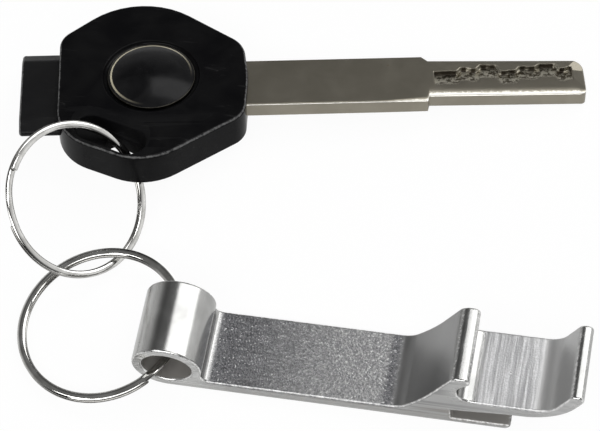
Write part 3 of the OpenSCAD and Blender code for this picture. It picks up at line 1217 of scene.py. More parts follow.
@dataclass(frozen=True)
class BadgeResin:
    """Black dome of clear-faced resin with a cream ring line under its face, and no marks."""

    low: Colour = (0.004, 0.004, 0.0045)
    high: Colour = (0.010, 0.010, 0.0105)
    cream: Colour = (0.50, 0.46, 0.34)
    ring_r: float = 5.8
    pale_side: tuple[float, float, float] = (-0.75, 0.66, 0.0)

    def material(self, centre: Vector) -> bpy.types.Material:
        """Builds the material.

        Args:
            centre: the badge's centre, from which the ring line pales toward one side.

        Returns:
            The material.
        """
        f = Finish("black resin", 0.0, {"Specular IOR Level": 0.13})
        k = f.kit
        cloud = f.cloud(4.0)
        ring = PRINTED_RING.use(k, Vector=f.at, Centre=centre, Toward=self.pale_side,
                                Radius=f.mark("reach"), Middle=self.ring_r)["Mask"]
        f.colour(k.mix(ring, k.mix(cloud["Tone"], self.low, self.high), self.cream))
        f.roughness(k.ramp(cloud["Mask"], 0.0, 1.0, 0.19, 0.23))
        f.relief(f.grain(0.5)["Height"], 0.0015)
        return f.material


@dataclass(frozen=True)
class NickelSilver:
    """Milled nickel silver of the blade, warm grey, with a fine grain, a few brown spots, a painted
    highlight on its rubbed bevels, and painted shade and highlights in the milled track.
    """

    low: Colour = (0.255, 0.236, 0.192)
    high: Colour = (0.28, 0.26, 0.213)
    # Rubbed bevels, lit up as a painted highlight.
    bright: Colour = (0.80, 0.785, 0.73)
    # Milled track: dark floor as painted shade, mottled with the next colour's painted highlights.
    cut: Colour = (0.10, 0.086, 0.062)
    chip: Colour = (0.58, 0.55, 0.46)
    shade: Colour = (0.03, 0.025, 0.019)
    spot: Colour = (0.20, 0.145, 0.09)

    def material(self) -> bpy.types.Material:
        """Builds the material.

        Returns:
            The material.
        """
        f = Finish("nickel silver", 1.0)
        k = f.kit
        edge, milled = f.mark("edge"), f.mark("milled")
        cloud, lines = f.cloud(4.0), f.scratches(0.008, 0.42)
        grain = f.grain(k.ramp(milled, 0.4, 0.6, 0.16, 0.7))
        rub_and_glint = k.most(f.wear(edge, 0.6), k.ramp(edge, 0.6, 1.0))
        stain = k.ramp(k.noise(f.at, 420.0, 3.0, 0.65), 0.71, 0.78)
        f.colour(k.layers(
            k.mix(cloud["Tone"], self.low, self.high),
            # Milled track: painted shade, mottled with painted highlights.
            (milled, k.mix(k.ramp(grain["Tone"], 0.25, 0.8), self.cut, self.chip)),
            (f.mark("steep"), self.shade),
            # Painted highlight along the rubbed bevels and the tip.
            (k.times(rub_and_glint, 0.8), self.bright),
            (k.times(stain, 0.6), self.spot)))
        f.roughness(k.plus(k.ramp(cloud["Mask"], 0.0, 1.0, 0.31, 0.33), k.times(milled, 0.1),
                           k.times(stain, 0.15)))
        height = k.times(grain["Height"], k.ramp(milled, 0.0, 1.0, 0.35, 9.0))
        f.relief(k.minus(height, k.times(lines, 0.3)), 0.008)
        return f.material


@dataclass(frozen=True)
class Foil:
    """Thin clouded metal, of the badge's plate and of the magnets."""

    name: str
    low: Colour
    high: Colour
    gloss: float = 0.24

    def material(self) -> bpy.types.Material:
        """Builds the material.

        Returns:
            The material.
        """
        f = Finish(self.name, 1.0)
        k = f.kit
        cloud = f.cloud(2.0)
        f.colour(k.mix(cloud["Tone"], self.low, self.high))
        f.roughness(k.ramp(cloud["Mask"], 0.0, 1.0, self.gloss, self.gloss + 0.12))
        f.relief(f.grain(0.14)["Height"], 0.004)
        return f.material


@dataclass(frozen=True)
class PaleFloor:
    """Floor that the camera sees near white, with a faint shadow, and metal sees pale grey."""

    pale: Colour = (0.86, 0.86, 0.86)
    seen_share: float = 0.95
    mirrored_share: float = 0.35

    def material(self) -> bpy.types.Material:
        """Builds the material.

        Returns:
            The material.
        """
        material = bpy.data.materials.new("pale floor")
        material.use_nodes = True
        kit = NodeKit(material.node_tree)
        kit.tree.nodes.clear()
        cloth = kit.add("ShaderNodeBsdfDiffuse")
        at = kit.add("ShaderNodeTexCoord").outputs["Object"]
        kit.feed(cloth.inputs["Color"], kit.mix(kit.noise(at, 9.0), self.pale, (0.9, 0.9, 0.9)))
        glow = kit.add("ShaderNodeEmission")
        rays = kit.add("ShaderNodeLightPath")
        mirrored = kit.most(rays.outputs["Is Glossy Ray"], rays.outputs["Is Transmission Ray"])
        both = kit.add("ShaderNodeMixShader")
        kit.feed(both.inputs[0], kit.most(kit.times(rays.outputs["Is Camera Ray"], self.seen_share),
                                          kit.times(mirrored, self.mirrored_share)))
        kit.feed(both.inputs[1], cloth.outputs[0])
        kit.feed(both.inputs[2], glow.outputs[0])
        out = kit.add("ShaderNodeOutputMaterial")
        kit.feed(out.inputs["Surface"], both.outputs[0])
        return material


# ---------------------------------------------------------------- the pieces


@dataclass
class BottleOpener:
    """The extruded opener: eye, handle, can-tab tongue, claw and mouth in one piece."""

    sizes: OpenerSizes
    lay: Lay
    rim: float = 0.35
    step: float = 0.4

    def outline(self, inset: float = 0.0) -> np.ndarray:
        """Profile in x and z: the rounded corners, then the fillet's arc, then the eye's.

        The fillet touches the handle's top and the eye, so its centre is its radius above
        the handle and both radii away from the eye's axis.

        Args:
            inset: distance of the outline inside the true one.

        Returns:
            The closed outline, counter-clockwise.
        """
        s = self.sizes
        ends = np.array([[0, 0, 0], [0, s.handle_t, 0]])
        corners = np.concatenate([ends[:1], s.corners(), ends[1:]])
        steps = 10
        arcs = rounded(corners, inset, steps).reshape(len(corners), steps + 1, 2)
        rise = s.handle_t + s.fillet_r
        reach = math.sqrt((s.eye_r + s.fillet_r) ** 2 - (s.eye_r - rise) ** 2)
        lean = math.degrees(math.atan2(rise - s.eye_r, reach))
        fillet = arc((reach, rise), s.fillet_r + inset, -90, -180 + lean, 10)
        eye = arc((0, s.eye_r), s.eye_r - inset, lean, 270, 90)
        return np.concatenate([arcs[1:-1].reshape(-1, 2), fillet, eye])

    def zones(self, xz: np.ndarray) -> dict[str, np.ndarray]:
        """Marks by place on the profile, from 0 to 1.

        The handle's top is granular between the eye and the ramp, the mouth's floor is lined
        by the die, the ramp, the cup and the lip's inside are satin, the slot is unhandled,
        and the crests, the lip and the tongue's end are rubbed and carry a painted highlight.

        Args:
            xz: points of the profile.

        Returns:
            One number for each point, by the name of the mark.
        """
        s = self.sizes
        x, z = xz[:, 0], xz[:, 1]

        def area(along: tuple[float, float, float], up: tuple[float, float, float]) -> np.ndarray:
            """1 in a box of the profile, given as low, high and softness each way."""
            return window(x, *along) * window(z, *up)

        top, floor, lip_in = s.handle_t, s.floor_z, s.lip_x - s.lip_t
        rubbed = np.array([[s.tip_x, s.claw_h - 0.4], [s.nose_x, s.claw_h], [lip_in, s.lip_h],
                           [s.lip_x, s.lip_h], [s.tongue_x, s.tongue_t],
                           [s.tongue_x, floor - s.floor_t]])
        away = np.linalg.norm(xz[:, None] - rubbed[None], axis=2).min(1)
        return {
            "rough": area((6.0, s.handle_l - 1.6, 1.0), (top - 0.2, top + 0.3, 0.3)),
            "pale": ease((x - 6.0) / 19.0) * (1 - ease((x - 29.2) / 1.0)),
            "lined": area((s.stem_x + 2.9, s.lip_x - 6.9, 0.9), (floor - 0.2, floor + 0.5, 0.4)),
            "satin": area((s.handle_l - 1.0, s.nose_x - 0.5, 0.8), (top, s.claw_h, 0.3)),
            "cup": area((s.lip_x - 6.4, lip_in - 0.2, 0.6), (floor, s.lip_h - 0.4, 0.3)),
            "slot": area((s.slot_x, s.tongue_x - 0.2, 0.3),
                         (s.tongue_t, s.tongue_t + s.slot_h, 0.15)),
            "edge": 0.75 * ease(1.0 - away / 0.9),
        }

    def build(self) -> bpy.types.Object:
        """Builds the mesh: rounded long edges, two sides, and the bore with rounded rims.

        An edge's section is a quarter circle: at angle t the outline is inset by
        e (1 - sin t) and lies e (1 - cos t) in from the side.

        Returns:
            The dressed piece.
        """
        s, half = self.sizes, self.sizes.width / 2
        cut = Dividing.of(self.outline(), self.step)
        shell = Shell(OPENER_MARKS)
        marks = self.zones(cut.cut(self.outline()))
        turns = np.linspace(0, math.pi / 2, 6)

        def loops(radius: float, at: Callable[[float], np.ndarray]) -> list[np.ndarray]:
            """Loops from one side to the other, with an edge of a radius at each side.

            Args:
                radius: radius of the edge at each side.
                at: gives the outline, moved inward by a distance.

            Returns:
                The loops, as arrays of x, y and z.
            """
            rows = []
            for t in turns:
                xz = at(radius * (1 - math.sin(t)))
                y = -half + radius * (1 - math.cos(t))
                rows.append(np.stack([xz[:, 0], np.full(len(xz), y), xz[:, 1]], 1))
            return rows + [r * np.array([1, -1, 1]) for r in rows[::-1]]

        outer = loops(s.edge, lambda inset: cut.cut(self.outline(inset)))
        # Edge mark, strongest halfway round each rounded edge, where the material paints wear and a
        # highlight line.
        edge = np.sin(2 * turns).clip(0) * 0.8
        edge = np.concatenate([edge, edge[::-1]])[:, None]
        wear = np.maximum(edge, marks.pop("edge")[None])
        shell.band(np.array(outer), edge=wear, **{k: v[None] for k, v in marks.items()})
        bore = loops(self.rim, lambda inset: circle(s.bore_r + inset, ROUND, (0, s.eye_r)))
        inside = np.array([0] * 5 + [1] * 2 + [0] * 5)[:, None]
        shell.band(np.array(bore), edge=edge, slot=inside)
        for row in (0, -1):
            shell.fill(outer[row], [bore[row]], sawn=1.0)
        piece = shell.piece("bottle_opener", self.lay.on_opener)
        even_normals(piece)
        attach(piece, "opener")
        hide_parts("opener_body")
        return piece


class Winding(Enum):
    """Which turn a split ring's wire starts on."""

    UPPER_FIRST = 1
    LOWER_FIRST = -1


@dataclass
class SplitRing:
    """Two turns of wire that step from one layer to the other between the wire's ends."""

    name: str
    node: str
    body: str
    sizes: RingSizes
    winding: Winding
    place: Callable[[np.ndarray], np.ndarray]
    steps: int = 520
    sides: int = 32
    end_draw: float = 0.22
    end_size: float = 0.45
    sharp_angle: float = 60.0

    def build(self) -> bpy.types.Object:
        """Builds the mesh: one section carried along the two turns, with rounded ends.

        At angle a the middle is at (R cos a, R sin a, h), where h steps smoothly from one
        layer to the other in the opening. The section is an ellipse, so that the two turns
        meet in a groove. Each end draws in along a quarter circle.

        Returns:
            The dressed piece.
        """
        s = self.sizes
        half_open, draw = s.opening / 2, math.degrees(self.end_draw / s.mean_r)
        start, end = half_open, 720 - half_open
        near = draw * (1 - np.cos(np.linspace(0, math.pi / 2, 7)[:-1]))
        a = np.concatenate([start + near, np.linspace(start + draw, end - draw, self.steps),
                            end - near[::-1]])
        edge = np.minimum(a - start, end - a)
        size = np.sqrt(np.clip(1 - (1 - np.minimum(edge / draw, 1)) ** 2, 0.0, 1))
        size = self.end_size + (1 - self.end_size) * size
        step = 1 - 2 * ease((a - 360 + half_open) / s.opening)
        level = self.winding.value * (s.turn_h + s.gap) / 2 * step
        b = np.linspace(0, 2 * math.pi, self.sides, endpoint=False)
        radius = s.mean_r + size[:, None] * np.cos(b) * s.wire_w / 2
        z = level[:, None] + size[:, None] * np.sin(b) * s.turn_h / 2
        turn = np.radians(a)[:, None]
        loops = np.stack([radius * np.cos(turn), radius * np.sin(turn), z], 2)
        # The groove mark, for painted shade: where the two turns face each other, and along the wire's
        # inner and outer sides.
        paired = ease((np.abs(a - 360) - half_open) / 6)[:, None]
        facing = paired * ease((-np.sign(level)[:, None] * np.sin(b) - 0.15) / 0.6)
        flanks = 0.75 * ease((np.abs(np.cos(b)) - 0.86) / 0.14)
        shell = Shell(("groove",))
        shell.band(loops, groove=np.maximum(facing, flanks))
        shell.fill(loops[0])
        shell.fill(loops[-1])
        piece = shell.piece(self.name, self.place, 0.0005)
        piece.data.set_sharp_from_angle(angle=math.radians(self.sharp_angle))
        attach(piece, self.body)
        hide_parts(self.node)
        return piece


@dataclass
class CarKey:
    """The key: moulded head, blade, badge of plate and dome, and shutter block."""

    sizes: KeySizes
    lay: Lay
    dish_flare: float = 0.5
    dish_foot: float = 0.35
    dish_r: float = 2.4
    dish_depth: float = 2.7
    dish_start: float = 0.7
    dish_fall: float = 0.36
    dish_ends: tuple[tuple[float, float], ...] = ((5, 2.7), (10.4, 0))
    far_flare: float = 2.2
    back_dish_depth: float = 0.8
    back_dish_edge: float = 0.3
    hole_ends: tuple[tuple[float, float], ...] = ((8.4, 1.45), (10.7, -0.2))
    hole_r: float = 1.45
    hole_rim: float = 0.12
    bezel_r: float = 7.05
    bezel_depth: float = 0.55
    bezel_roll: tuple[tuple[float, float], ...] = (
        (0.12, 0), (0.03, 0.02), (-0.02, 0.07), (-0.06, 0.2), (-0.16, 0.42), (-0.34, 0.53))
    seat_roll: tuple[tuple[float, float], ...] = ((0.12, 0), (0.03, 0.02), (0, 0.08))
    badge_play: float = 0.02
    badge_seat: float = 0.3
    plate_t: float = 0.8
    plate_rim: float = 0.3
    dome_inset: float = 0.15
    block_at: tuple[float, float] = (-0.2, -0.2)
    tang_step: tuple[float, float] = (-2.5, -2.45)
    far_step: tuple[float, float] = (-0.4, 0.5)
    near_step: tuple[float, float] = (0.2, 0.45)
    bevels: tuple[float, ...] = (0.2, 0.24, 0.9, 1.5, 1.4, 0.5)
    across: int = 88
    shank_far: float = 0.2
    shank_near: float = 0.12
    tip_far: tuple[float, float] = (0.42, -0.24)
    tip_near: tuple[float, float] = (0.2, 0.5)
    far_round: float = 1.6
    near_round: float = 0.8
    side_round: float = 0.16
    end_round: float = 0.2
    track: tuple[float, ...] = (
        0.3, 0.35, 0.35, 1.0, 0.7, 1.45, 1.35, 0.1, 0.25, 0.95, 0.85, 1.3, 1.3, 0.4, 0.7)
    track_r: float = 1.05
    track_near: float = 1.95
    track_start: float = 1.4
    track_pitch: float = 1.42
    track_depth: float = 0.7
    point_l: float = 2.75
    point_y: float = 1.2
    point_slope: float = 0.2
    point_flanks: tuple[float, float] = (0.88, 0.69)

    def _finish(self, piece: bpy.types.Object, node: str) -> bpy.types.Object:
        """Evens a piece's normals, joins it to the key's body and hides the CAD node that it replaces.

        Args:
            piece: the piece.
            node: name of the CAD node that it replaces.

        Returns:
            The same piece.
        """
        even_normals(piece)
        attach(piece, "key")
        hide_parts(node)
        return piece

    @staticmethod
    def _flat(outline: np.ndarray, z: float) -> np.ndarray:
        """Lifts an outline to a height."""
        return np.column_stack([outline, np.full(len(outline), z)])

    def head(self) -> bpy.types.Object:
        """Builds the head: rounded outline, badge recess, and the ring's dish and hole.

        The outer wall is upright, and its edges are quarter circles. The dish's rim and
        floor and the hole's rims are quarter circles too, each a stack of outlines moved
        out or in as they go down. The recess is a stack of circles with a rolled rim.

        Returns:
            The dressed piece.
        """
        s = self.sizes
        top, base = s.head_t / 2, -s.head_t / 2
        corners = s.outline()
        cut = Dividing.of(rounded(corners), 0.6)
        shell = Shell(("edge", "dish"))
        t = np.linspace(0, math.pi / 2, 7)
        down = np.concatenate([top - s.edge * (1 - np.cos(t)), base + s.edge * (1 - np.cos(t[::-1]))])
        inset = np.concatenate([s.edge * (1 - np.sin(t)), s.edge * (1 - np.sin(t[::-1]))])
        # Edge mark, strongest halfway round the rounded edges: wear and a painted highlight line.
        edge = np.concatenate([np.sin(2 * t), np.sin(2 * t[::-1])]).clip(0)
        outer = np.array([self._flat(cut.cut(rounded(corners, i)), z) for i, z in zip(inset, down)])
        shell.band(outer, edge=0.8 * edge[:, None])

        dish = [s.by_hole(*end) for end in self.dish_ends]
        hole = [s.by_hole(*end) for end in self.hole_ends]

        def fall(x: np.ndarray) -> np.ndarray:
            """Depth of the dish along the key: shallow behind, and deep round the hole."""
            deeper = self.dish_fall * (x - dish[0][0] + self.dish_r)
            return np.clip(self.dish_start + deeper, self.dish_start, self.dish_depth)

        def dished(face: float, side: int, depth: Callable[[np.ndarray], np.ndarray], flare: float,
                   foot: float, far_flare: float = 0.0) -> np.ndarray:
            """Stack of the dish's outlines from its face down to its floor, wider on the far side.

            Args:
                face: height of the face that it is sunk in.
                side: 1 for the upper face and -1 for the lower.
                depth: gives its depth along the key.
                flare: radius of its rim.
                foot: radius between its wall and its floor.
                far_flare: share of the flare that is added on the far side.

            Returns:
                The outlines, as an array of loop, point and x y z.
            """
            share = flare / self.dish_depth
            moves = np.concatenate([flare * (1 - np.sin(t)), -foot * (1 - np.cos(t))])
            shares = np.concatenate([share * (1 - np.cos(t)), share + (1 - share) * np.sin(t)])
            ring = slot_outline(*dish, self.dish_r)
            out = slot_outline(*dish, self.dish_r + 1) - ring
            rows = []
            for m, part in zip(moves, shares):
                widen = 1 + far_flare * ease(out[:, 1]) if m > 0 else np.ones(len(out))
                xy = ring + out * (m * widen)[:, None]
                rows.append(np.column_stack([xy, face - side * depth(xy[:, 0]) * part]))
            return np.array(rows)

        def flat(x: np.ndarray) -> np.ndarray:
            """Even depth of the shallow dish in the back."""
            return np.full(len(x), self.back_dish_depth)

        over = dished(top, 1, fall, self.dish_flare, self.dish_foot, self.far_flare)
        under = dished(base, -1, flat, self.back_dish_edge, self.back_dish_edge)
        shell.band(over, dish=1.0)
        shell.band(under)
        rows = []
        for m, drop in zip(self.hole_rim * (1 - np.sin(t)), self.hole_rim * (1 - np.cos(t))):
            xy = slot_outline(*hole, self.hole_r + m)
            rows.append((np.column_stack([xy, top - fall(xy[:, 0]) - drop]),
                         self._flat(xy, base + self.back_dish_depth + drop)))
        bore = np.array([r[0] for r in rows] + [r[1] for r in rows[::-1]])
        shell.band(bore, dish=1.0)
        shell.fill(over[-1], [bore[0]], dish=1.0)
        shell.fill(under[-1], [bore[-1]])

        centre = (0, s.badge_y)
        seat = s.badge_d / 2 + self.badge_play
        profile = [(self.bezel_r + out, drop) for out, drop in self.bezel_roll]
        profile += [(seat + out, self.bezel_depth + drop) for out, drop in self.seat_roll]
        profile.append((seat, self.bezel_depth + self.badge_seat))
        recess = np.array([self._flat(circle(r, ROUND, centre), top - drop) for r, drop in profile])
        shell.band(recess)
        shell.fill(recess[-1])
        shell.fill(outer[0], [over[0], recess[0]])
        shell.fill(outer[-1], [under[0]])
        piece = shell.piece("key_head_shell", self.lay.on_key)
        return self._finish(piece, "key_head")

    def blade(self) -> bpy.types.Object:
        """Builds the blade as sections along x, with the wavy track milled in both faces.

        A section runs round the bar with bevelled edges. The track's middle goes smoothly
        from one height to the next, and its floor slopes down to a steep wall on one side.
        The tip is ground to two slopes that meet in a point, on both faces.

        Returns:
            The dressed piece.
        """
        s = self.sizes
        start, shank_end, end = s.head_front - s.tang_l, s.head_front + s.shank_l, s.blade_end
        tang_breaks = [start, *(s.head_front + step for step in self.tang_step)]
        breaks = [*tang_breaks, *(shank_end + step for step in self.far_step)]
        near_breaks = [*tang_breaks, *(shank_end + step for step in self.near_step)]
        track_x = s.head_front + s.shank_l + self.track_start
        track_end = track_x + self.track_pitch * (len(self.track) - 1)
        x = np.unique(np.round(np.concatenate([
            breaks, near_breaks, np.linspace(start, shank_end - 0.5, 60),
            np.linspace(shank_end - 0.5, shank_end + 0.5, 15),
            np.arange(shank_end + 0.5, end - 2, 0.11), np.linspace(end - 2, end, 28), [end - 1]]), 5))
        tang, shank, tip = s.tang_w / 2, s.shank_w / 2, s.tip_w / 2

        def corner(radius: float) -> np.ndarray:
            """How far a round corner at the tip draws the side in."""
            return radius - np.sqrt(radius ** 2 - np.clip(x - end + radius, 0, radius) ** 2)

        def reach(at: Sequence[float], wide: float, ends: tuple[float, float]) -> np.ndarray:
            """Distance of a side from the middle line, along the tang, the shank and the tip."""
            return np.interp(x, [*at, end], [tang, tang, shank + wide, shank + wide,
                                             tip + ends[0], tip + ends[1]])

        far = reach(breaks, self.shank_far, self.tip_far) - corner(self.far_round)
        near = corner(self.near_round) - reach(near_breaks, self.shank_near, self.tip_near)
        bevel = np.interp(x, [start, shank_end - 6, shank_end, shank_end + 0.6, end - 1.2, end],
                          self.bevels)[:, None]
        share = np.linspace(0, 1, self.across)
        drawn = np.clip((end - x) / self.end_round, 0, 1)
        shrink = (self.end_round * (1 - np.sqrt(1 - (1 - drawn) ** 2)))[:, None]

        def ground(y: np.ndarray) -> np.ndarray:
            """Depth that is ground off a face toward the tip: a slope times the distance past a
            line, which runs back from the point on each side.

            Args:
                y: places across the blade, for each section.

            Returns:
                The depths.
            """
            far_flank, near_flank = self.point_flanks
            back = np.maximum(far_flank * (y - self.point_y), near_flank * (self.point_y - y))
            return self.point_slope * np.clip(x[:, None] - end + self.point_l - back, 0, None)

        def face(side: int) -> tuple[np.ndarray, np.ndarray, np.ndarray]:
            """Points of one face, from its near edge to its far edge, and its two marks.

            Args:
                side: 1 for the upper face and -1 for the lower.

            Returns:
                The points, how far each is in the track, and how far each is on its steep wall.
            """
            low, high = near[:, None] + bevel + shrink, far[:, None] - self.side_round - shrink
            y = low + (high - low) * share[None]
            up = (side * y - middle[:, None] + self.track_near) / (self.track_near + self.track_r)
            inside = ease(up / 0.35) * (1 - ease((up - 0.95) / 0.06))
            inside = inside * window(x, track_x, track_end, 0.12)[:, None]
            upright = ease((up - 0.88) / 0.06) * (1 - ease((up - 1.0) / 0.04)) * level[:, None]
            depth = np.maximum(self.track_depth * inside * np.clip(up, 0.0, 1.0), ground(y))
            z = side * (s.blade_t / 2 - shrink - depth)
            return np.stack([np.broadcast_to(x[:, None], y.shape), y, z], 2), inside, upright

        steps = (x - track_x) / self.track_pitch
        here = np.clip(np.floor(steps).astype(int), 0, len(self.track) - 2)
        heights = np.array(self.track)
        middle = heights[here] + np.diff(heights)[here] * ease((steps - here - 0.2) / 0.6)
        climb = np.abs(np.gradient(middle, x))
        level = window(x, track_x, track_end, 0.12) * (1 - 0.8 * ease(climb / 0.5))
        top, cut_top, wall_top = face(1)
        bottom, cut_bottom, wall_bottom = face(-1)

        def wall(y: np.ndarray, wide: np.ndarray, deep: np.ndarray, bend: float, out: int) -> np.ndarray:
            """Wall with a bevel at each face: over the bevel's width it drops by a power.

            Args:
                y: the wall's place across, for each section.
                wide: width of its bevels.
                deep: depth of its bevels.
                bend: power by which a bevel drops.
                out: 1 for the far wall and -1 for the near one.

            Returns:
                The wall's points, from the upper face to the lower.
            """
            t = np.array([0, 0.2, 0.4, 0.6, 0.8, 1, 1])
            inward = wide * (t - 1)
            ys = y[:, None] + out * np.concatenate([inward, inward[:, ::-1]], 1) - out * shrink
            lift = s.blade_t / 2 - ground(ys[:, :1]) - deep * t ** bend - 0.08 * (np.arange(7) == 6)
            zs = np.concatenate([lift, -lift[:, ::-1]], 1)
            zs = np.sign(zs) * (np.abs(zs) - shrink)
            return np.stack([np.broadcast_to(x[:, None], ys.shape), ys, zs], 2)

        small = np.full_like(bevel, self.side_round)
        far_wall = wall(far, small, small, 2.0, 1)
        near_wall = wall(near, bevel, 0.06 * bevel + 0.1, 2.2, -1)[:, ::-1]
        loops = np.concatenate([top, far_wall[:, 1:-1], bottom[:, ::-1], near_wall[:, 1:-1]], 1)
        count = top.shape[1]
        # Edge mark across each wall's bevels, for wear and a painted highlight line.
        rubbed = np.array([0.2, 0.4, 0.7, 1.0, 1.0, 0.1, 0.1, 1.0, 1.0, 0.7, 0.4, 0.2])
        worn = np.zeros(loops.shape[:2])
        worn[:, count:count + len(rubbed)] = 0.7 * rubbed
        worn[:, -len(rubbed):] = rubbed
        under = slice(count + len(rubbed), 2 * count + len(rubbed))
        milled, steep = np.zeros(loops.shape[:2]), np.zeros(loops.shape[:2])
        milled[:, :count], steep[:, :count] = cut_top, wall_top
        milled[:, under], steep[:, under] = cut_bottom[:, ::-1], wall_bottom[:, ::-1]
        shell = Shell(("edge", "milled", "steep"))
        shell.band(loops, edge=worn, milled=milled, steep=steep)
        shell.fill(loops[0])
        # The tip's end face gets the edge mark too: wear and a painted highlight.
        shell.fill(loops[-1], edge=0.6)
        piece = shell.piece("key_blade_bar", self.lay.on_key, 0.0004)
        return self._finish(piece, "key_blade")

    def _lathe(self, name: str, radii: Sequence[float], heights: Sequence[float]) -> bpy.types.Object:
        """Turns a profile about the badge's axis and marks each point with its radius.

        Args:
            name: the piece's name.
            radii: radii of the profile.
            heights: their heights.

        Returns:
            The piece, not yet dressed.
        """
        shell, centre = Shell(("reach",)), (0, self.sizes.badge_y)
        loops = np.array([self._flat(circle(r, ROUND, centre), z) for r, z in zip(radii, heights)])
        shell.band(loops, reach=np.asarray(radii)[:, None])
        shell.fill(loops[0], reach=radii[0])
        shell.fill(loops[-1], reach=radii[-1])
        return shell.piece(name, self.lay.on_key)

    def badge_plate(self) -> bpy.types.Object:
        """Builds the plate: a disc with a rounded rim that stands up round the dome.

        Returns:
            The dressed piece.
        """
        s = self.sizes
        base = s.head_t / 2 - self.bezel_depth - self.badge_seat
        r, t = s.badge_d / 2, np.linspace(0, math.pi, 9)
        lip = self.dome_inset / 2
        radii = [r - 0.08, r, *(r - lip + lip * np.cos(t)), r - 2 * lip]
        heights = [base, base + 0.08, *(base + self.plate_t - 0.06 + 0.06 * np.sin(t)),
                   base + self.plate_t - self.plate_rim]
        return self._finish(self._lathe("badge_foil_disc", radii, heights), "badge_plate")

    def badge_dome(self) -> bpy.types.Object:
        """Builds the dome: part of a sphere over the disc, z = k + sqrt(R^2 - r^2).

        Returns:
            The dressed piece.
        """
        s = self.sizes
        base = s.head_t / 2 - self.bezel_depth - self.badge_seat + self.plate_t - self.plate_rim
        r = s.badge_d / 2 - self.dome_inset
        ball = (r * r + s.dome_h ** 2) / (2 * s.dome_h)
        top = base + self.plate_rim + s.dome_h
        radii = r * np.cos(np.linspace(0, math.pi / 2, 56)[:-1])
        heights = top - ball + np.sqrt(ball ** 2 - radii ** 2)
        return self._finish(
            self._lathe("badge_resin_dome", [r - 0.05, r, *radii], [base, base + 0.05, *heights]),
            "badge_dome")

    def shutter_block(self) -> bpy.types.Object:
        """Builds the flat six-sided block: one rounded section, drawn in at its outer end.

        Returns:
            The dressed piece.
        """
        s = self.sizes
        y, z = self.block_at
        half, flat, wide = s.block_t / 2, s.block_flat / 2, s.block_w / 2
        corners = np.array([[flat, -half, 1.6], [wide, 0, 0.6], [flat, half, 1.6],
                            [-flat, half, 1.6], [-wide, 0, 0.6], [-flat, -half, 1.6]])
        t = np.linspace(0, math.pi / 2, 6)
        end, soft = s.head_back - s.block_l, 0.45
        x = np.concatenate([end + soft * (1 - np.cos(t)), [s.head_back - 0.4, s.head_back + 3.0]])
        inset = np.concatenate([soft * (1 - np.sin(t)), [0, 0]])
        # Edge mark, strongest halfway round the end's rounded edge: wear and a painted highlight line.
        edge = np.concatenate([np.sin(2 * t), [0, 0]])
        cut = Dividing.of(rounded(corners), 0.5)
        loops = []
        for i, at in zip(inset, x):
            section = cut.cut(rounded(corners, i))
            loops.append(np.stack([np.full(len(section), at), section[:, 0] + y, section[:, 1] + z], 1))
        shell = Shell(("edge",))
        shell.band(np.array(loops), edge=0.9 * edge[:, None])
        shell.fill(loops[0])
        shell.fill(loops[-1])
        piece = shell.piece("shutter_block_shell", self.lay.on_key)
        return self._finish(piece, "shutter_block")


# ---------------------------------------------------------------- camera, light and floor


@dataclass(frozen=True)
class ViewCamera:
    """The camera, with its place, its aim and its turn about the line of sight.

    Attributes:
        location: where it stands, in metres.
        aim: the point in the middle of its view.
        roll: its turn about its line of sight, in degrees.
        lens: its focal length in millimetres.
        sensor_width: its sensor's width in millimetres.
    """

    location: tuple[float, float, float] = (0.044401, -0.162734, 0.331255)
    aim: tuple[float, float, float] = (-0.010057, 0.023552, 0.0)
    roll: float = -7.1826
    lens: float = 161.31
    sensor_width: float = 36.0

    def matrix(self) -> Matrix:
        """Returns the camera's place and turn.

        Returns:
            The matrix from the camera to the CAD frame.
        """
        look = (Vector(self.aim) - Vector(self.location)).to_track_quat("-Z", "Y").to_matrix()
        turn = look @ Matrix.Rotation(math.radians(self.roll), 3, "Z")
        return Matrix.Translation(self.location) @ turn.to_4x4()

    def build(self) -> bpy.types.Object:
        """Makes the camera and gives it to the scene.

        Returns:
            The camera.
        """
        data = bpy.data.cameras.new("view camera")
        data.lens, data.sensor_width, data.sensor_fit = self.lens, self.sensor_width, "AUTO"
        data.clip_start, data.clip_end = 0.01, 20
        camera = bpy.data.objects.new("view camera", data)
        bpy.context.scene.collection.objects.link(camera)
        camera.matrix_world = self.matrix()
        bpy.context.scene.camera = camera
        return camera

    def ray(self, x: float, y: float) -> tuple[Vector, Vector]:
        """Returns the start and direction of the ray through an image point.

        Args:
            x: distance from the frame's left.
            y: distance from the frame's top.

        Returns:
            Where the ray starts, and its direction.
        """
        long = max(WIDTH, HEIGHT)
        way = Vector((x - WIDTH / 2, HEIGHT / 2 - y, -long * self.lens / self.sensor_width))
        return Vector(self.location), (self.matrix().to_3x3() @ way).normalized()

    def seen(self, points: np.ndarray) -> np.ndarray:
        """Returns the image points of an array of places.

        Args:
            points: places in the CAD frame.

        Returns:
            Their distances from the frame's left and top, as rows.
        """
        inside = np.array(self.matrix().inverted())
        local = points @ inside[:3, :3].T + inside[:3, 3]
        scale = max(WIDTH, HEIGHT) * self.lens / self.sensor_width / -local[:, 2]
        return np.stack([WIDTH / 2 + local[:, 0] * scale, HEIGHT / 2 - local[:, 1] * scale], 1)


